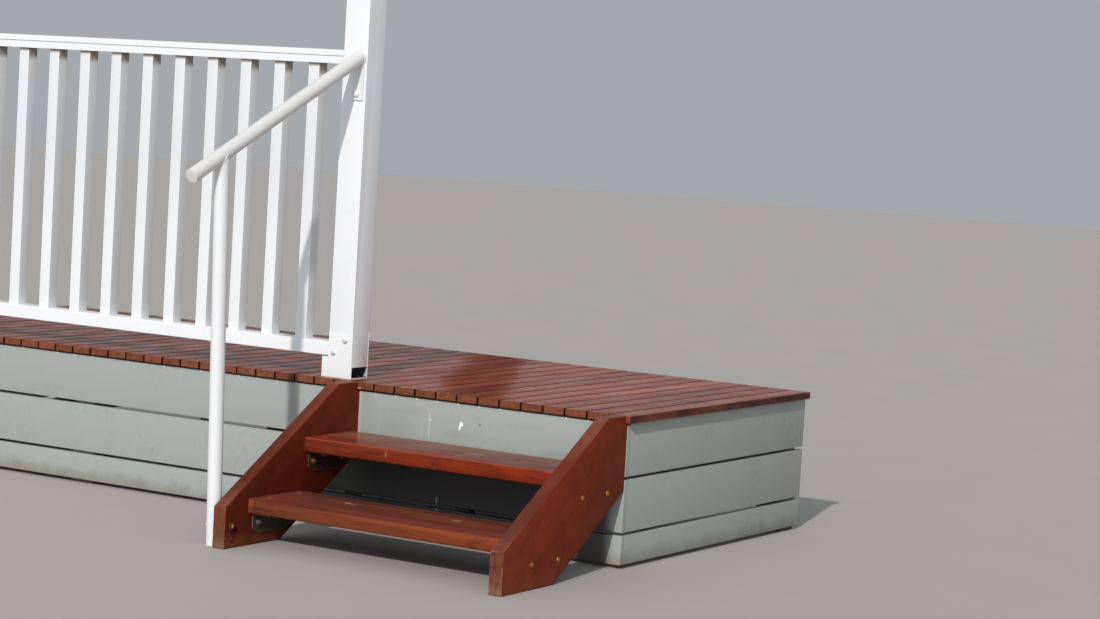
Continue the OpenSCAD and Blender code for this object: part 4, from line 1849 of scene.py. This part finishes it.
@dataclass
class Handrail:
    """The steel handrail, its capped lower end, its plate on the post and its coped tube post, with welds."""

    radius: float = 21.2
    head: Place = (-35.0, 12.0, 1413.0)
    joint: Place = (-58.4, -591.0, 1112.4)
    foot: Place = (-21.5, -591.0, 0.0)
    bead: float = 1.7
    saddle_out: float = 0.7
    saddle_under: float = 0.5
    saddle_start: float = 60.0
    head_bead: float = 1.3
    head_out: float = 0.4
    head_back: float = 1.6
    ripples: tuple[Pair, ...] = ((0.35, 2.4), (0.2, 0.9))
    plate_bolt: Pair = (-38.0, 1306.0)
    plate_head: CupBolt = CupBolt(across=23.0, rise=7.5)
    foot_bolt_z: float = 58.0
    foot_head: CupBolt = CupBolt(across=18.0, rise=5.5)
    seat_in: float = 0.6
    cream: Colour = (0.72, 0.712, 0.690)
    post_cream: Colour = (0.765, 0.775, 0.770)
    grime: Colour = (0.40, 0.36, 0.29)
    rust: Colour = (0.24, 0.10, 0.05)

    def build(self) -> None:
        """Copies the tubes and models the cap, the weld beads and the bolts."""
        self.tube = smooth(copy_node("handrail", "handrail_tube"), 40.0)
        self.post = smooth(copy_node("handrail_post", "handrail_tube_post"), 40.0)
        self.cap = ease_edges(copy_node("handrail_cap", "handrail_end_cap"), 1.3, 4, 50.0)
        self.plate = ease_edges(copy_node("handrail_plate", "handrail_fixing_plate"), 0.8, 1)
        self.axis = (Vector(self.head) - Vector(self.joint)).normalized()
        self.lean = (Vector(self.joint) - Vector(self.foot)).normalized()
        self.welds = join("handrail_welds", [self.saddle_weld(), self.head_weld()])
        x, z = self.plate_bolt
        head = facing(DATUM.at(x, DATUM.low("handrail_plate").y, z), (0, -1, 0))
        middle = Vector(self.foot) + self.lean * self.foot_bolt_z
        seat = facing(DATUM.at(middle.x - self.radius + self.seat_in, middle.y, middle.z), (-1, 0, 0))
        self.bolts = join("handrail_bolts", [lay_out("plate_bolt", self.plate_head.model(), [head]),
                                             lay_out("post_bolt", self.foot_head.model(), [seat])])

    def ring(self, name: str, points: Sequence[Vector], radius: float) -> Piece:
        """Lays a round bead along a closed line of points.

        Args:
            name: The piece's name.
            points: The line, in millimetres from the flight's corner.
            radius: The bead's radius in millimetres.

        Returns:
            The bead.
        """
        clear_selection()
        bpy.ops.mesh.primitive_circle_add(vertices=len(points), radius=1.0)
        piece = bpy.context.object
        for vertex, point in zip(piece.data.vertices, points):
            vertex.co = DATUM.at(*point)
        bpy.ops.object.convert(target="CURVE")
        piece.data.bevel_depth = radius * MM
        piece.data.bevel_resolution = 3
        bpy.ops.object.convert(target="MESH")
        piece = bpy.context.object
        piece.name = name
        return smooth(settle(piece), 60.0)

    def ripple(self, index: int) -> float:
        """Gives the small step in and out along a bead laid by hand, in millimetres."""
        return sum(size * math.sin(index * rate) for size, rate in self.ripples)

    def saddle_weld(self, sides: int = 96) -> Piece:
        """Lays the bead where the tube post is coped to the handrail's underside.

        Args:
            sides: Number of points along it.

        Returns:
            The bead.
        """
        top, axis, lean = Vector(self.joint), self.axis, self.lean
        side = lean.cross(axis).normalized()
        fore = side.cross(lean).normalized()
        along = lean - axis * lean.dot(axis)
        points = []
        for index in range(sides):
            turn = math.tau * index / sides
            around = side * math.cos(turn) + fore * math.sin(turn)
            start = top + around * (self.radius + self.saddle_out) - lean * self.saddle_start
            across = start - top - axis * (start - top).dot(axis)
            a, b = along.dot(along), 2 * across.dot(along)
            c = across.dot(across) - (self.radius + self.saddle_under) ** 2
            rise = (-b - math.sqrt(max(b * b - 4 * a * c, 0.0))) / (2 * a)
            points.append(start + lean * (rise + self.ripple(index)))
        return self.ring("saddle_weld", points, self.bead)

    def head_weld(self, sides: int = 72) -> Piece:
        """Lays the bead where the handrail meets its plate.

        Args:
            sides: Number of points along it.

        Returns:
            The bead.
        """
        side = self.axis.cross(Vector((0, 0, 1))).normalized()
        up = side.cross(self.axis).normalized()
        points = []
        for index in range(sides):
            turn = math.tau * index / sides
            around = side * math.cos(turn) + up * math.sin(turn)
            start = Vector(self.head) + around * (self.radius + self.head_out + self.ripple(index))
            slide = (self.head[1] - self.head_back - start.y) / self.axis.y
            points.append(start + self.axis * slide)
        return self.ring("head_weld", points, self.head_bead)

    def paint(self, name: str, colour: Colour) -> Paint:
        """Gives the steel's paint in one of its two creams."""
        return Paint(name, colour, self.grime, self.rust, roughness=0.34, brush=0.18, grime=0.16, chips=0.35,
                     along=Along.HEIGHT)

    def dress(self) -> None:
        """Paints the steel."""
        cream, pale = self.paint("tube_cream", self.cream), self.paint("tube_post_cream", self.post_cream)
        put_on(self.tube, cream, Slot.TUBE, "handrail")
        put_on(self.post, pale, Slot.TUBE, "handrail_post")
        put_on(self.cap, cream, Slot.TUBE, "handrail_cap")
        put_on(self.plate, pale, Slot.TUBE, "handrail_plate")
        put_on(self.welds, cream, Slot.TUBE)
        put_on(self.bolts, pale, Slot.TUBE)


# Light and camera

@dataclass(frozen=True)
class Floor(Finish):
    """The studio's pale floor, with faint clouds."""

    pale: Colour

    def sockets(self, graph: Graph) -> dict[str, Any]:
        """Gives the floor its clouds."""
        clouds = graph.place.noise(3.0, detail=6.0, rough=0.6)
        return {"Base Color": graph.blend(clouds, darker(self.pale, 0.94), self.pale), "Roughness": 0.85}


@dataclass(frozen=True)
class Sun:
    """A sun lamp: where its light comes from, its strength, its spread in degrees and its colour."""

    name: str
    way: Place
    energy: float
    spread: float
    colour: Colour = (0.78, 0.88, 1.0)

    def hang(self) -> None:
        """Adds the lamp to the scene."""
        lamp = bpy.data.lights.new(self.name, "SUN")
        lamp.energy = self.energy
        lamp.angle = math.radians(self.spread)
        lamp.color = self.colour
        light = new_object(self.name, lamp)
        light.rotation_euler = Vector(self.way).to_track_quat("Z", "Y").to_euler()


@dataclass
class Studio:
    """The pale floor, the soft light and the camera at the photograph's angle."""

    camera_mm: Place = (4721.4, -6610.0, 1305.7)
    yaw: float = 31.346
    pitch: float = 4.331
    roll: float = 3.362
    lens: float = 88.130
    sensor: float = 36.0
    clip: Pair = (0.1, 200.0)
    suns: tuple[Sun, ...] = (Sun("key", (0.27, -1.0, 0.655), 2.52, 1.5, (1.0, 0.95, 0.92)),
                             Sun("fill", (0.30, -0.93, 0.20), 0.95, 80.0),
                             Sun("side", (1.0, -0.06, 0.10), 0.13, 80.0))
    sky: Colour = (0.37, 0.395, 0.42)
    floor: Colour = (0.44, 0.415, 0.385)
    floor_size: float = 60.0
    floor_z: float = -0.5

    def build(self) -> None:
        """Makes the floor, the lights and the camera, and shows colours as they are."""
        bpy.context.scene.view_settings.view_transform = "Standard"
        self.lay_floor()
        for sun in self.suns:
            sun.hang()
        self.open_sky()
        self.set_camera()

    def lay_floor(self) -> None:
        """Lays the pale floor under the part."""
        clear_selection()
        bpy.ops.mesh.primitive_plane_add(size=self.floor_size, location=(0, 0, self.floor_z * MM))
        floor = bpy.context.object
        floor.name = "floor"
        settle(floor)
        floor.data.materials.append(material_of(Floor("pale_floor", self.floor)))

    def open_sky(self) -> None:
        """Fills the shade with an even sky."""
        world = bpy.data.worlds.new("studio")
        bpy.context.scene.world = world
        world.use_nodes = True
        background = world.node_tree.nodes["Background"]
        background.inputs["Color"].default_value = (*self.sky, 1.0)
        background.inputs["Strength"].default_value = 1.0

    def set_camera(self) -> None:
        """Sets the camera up as the photograph was taken."""
        data = bpy.data.cameras.new("photo_camera")
        data.sensor_fit = "HORIZONTAL"
        data.sensor_width = self.sensor
        data.lens = self.lens
        data.clip_start, data.clip_end = self.clip
        camera = new_object("photo_camera", data)
        turn = Matrix.Translation(DATUM.at(*self.camera_mm))
        for angle, axis in ((self.yaw, "Z"), (90.0 - self.pitch, "X"), (self.roll, "Z")):
            turn = turn @ Matrix.Rotation(math.radians(angle), 4, axis)
        camera.matrix_world = turn
        bpy.context.scene.camera = camera


def main() -> None:
    """Builds and dresses every sub-assembly in order."""
    logging.basicConfig(level=logging.INFO, format="%(message)s")
    Studio().build()
    treads = Treads()
    for group in (Stringers(), treads, TreadBrackets(treads), FrontBoards(), Deck(), UnderFrame(), Posts(),
                  Balustrade(), Handrail()):
        group.build()
        group.dress()
        LOG.info("sub-assembly %s is done", type(group).__name__)


if __name__ == "__main__":
    main()
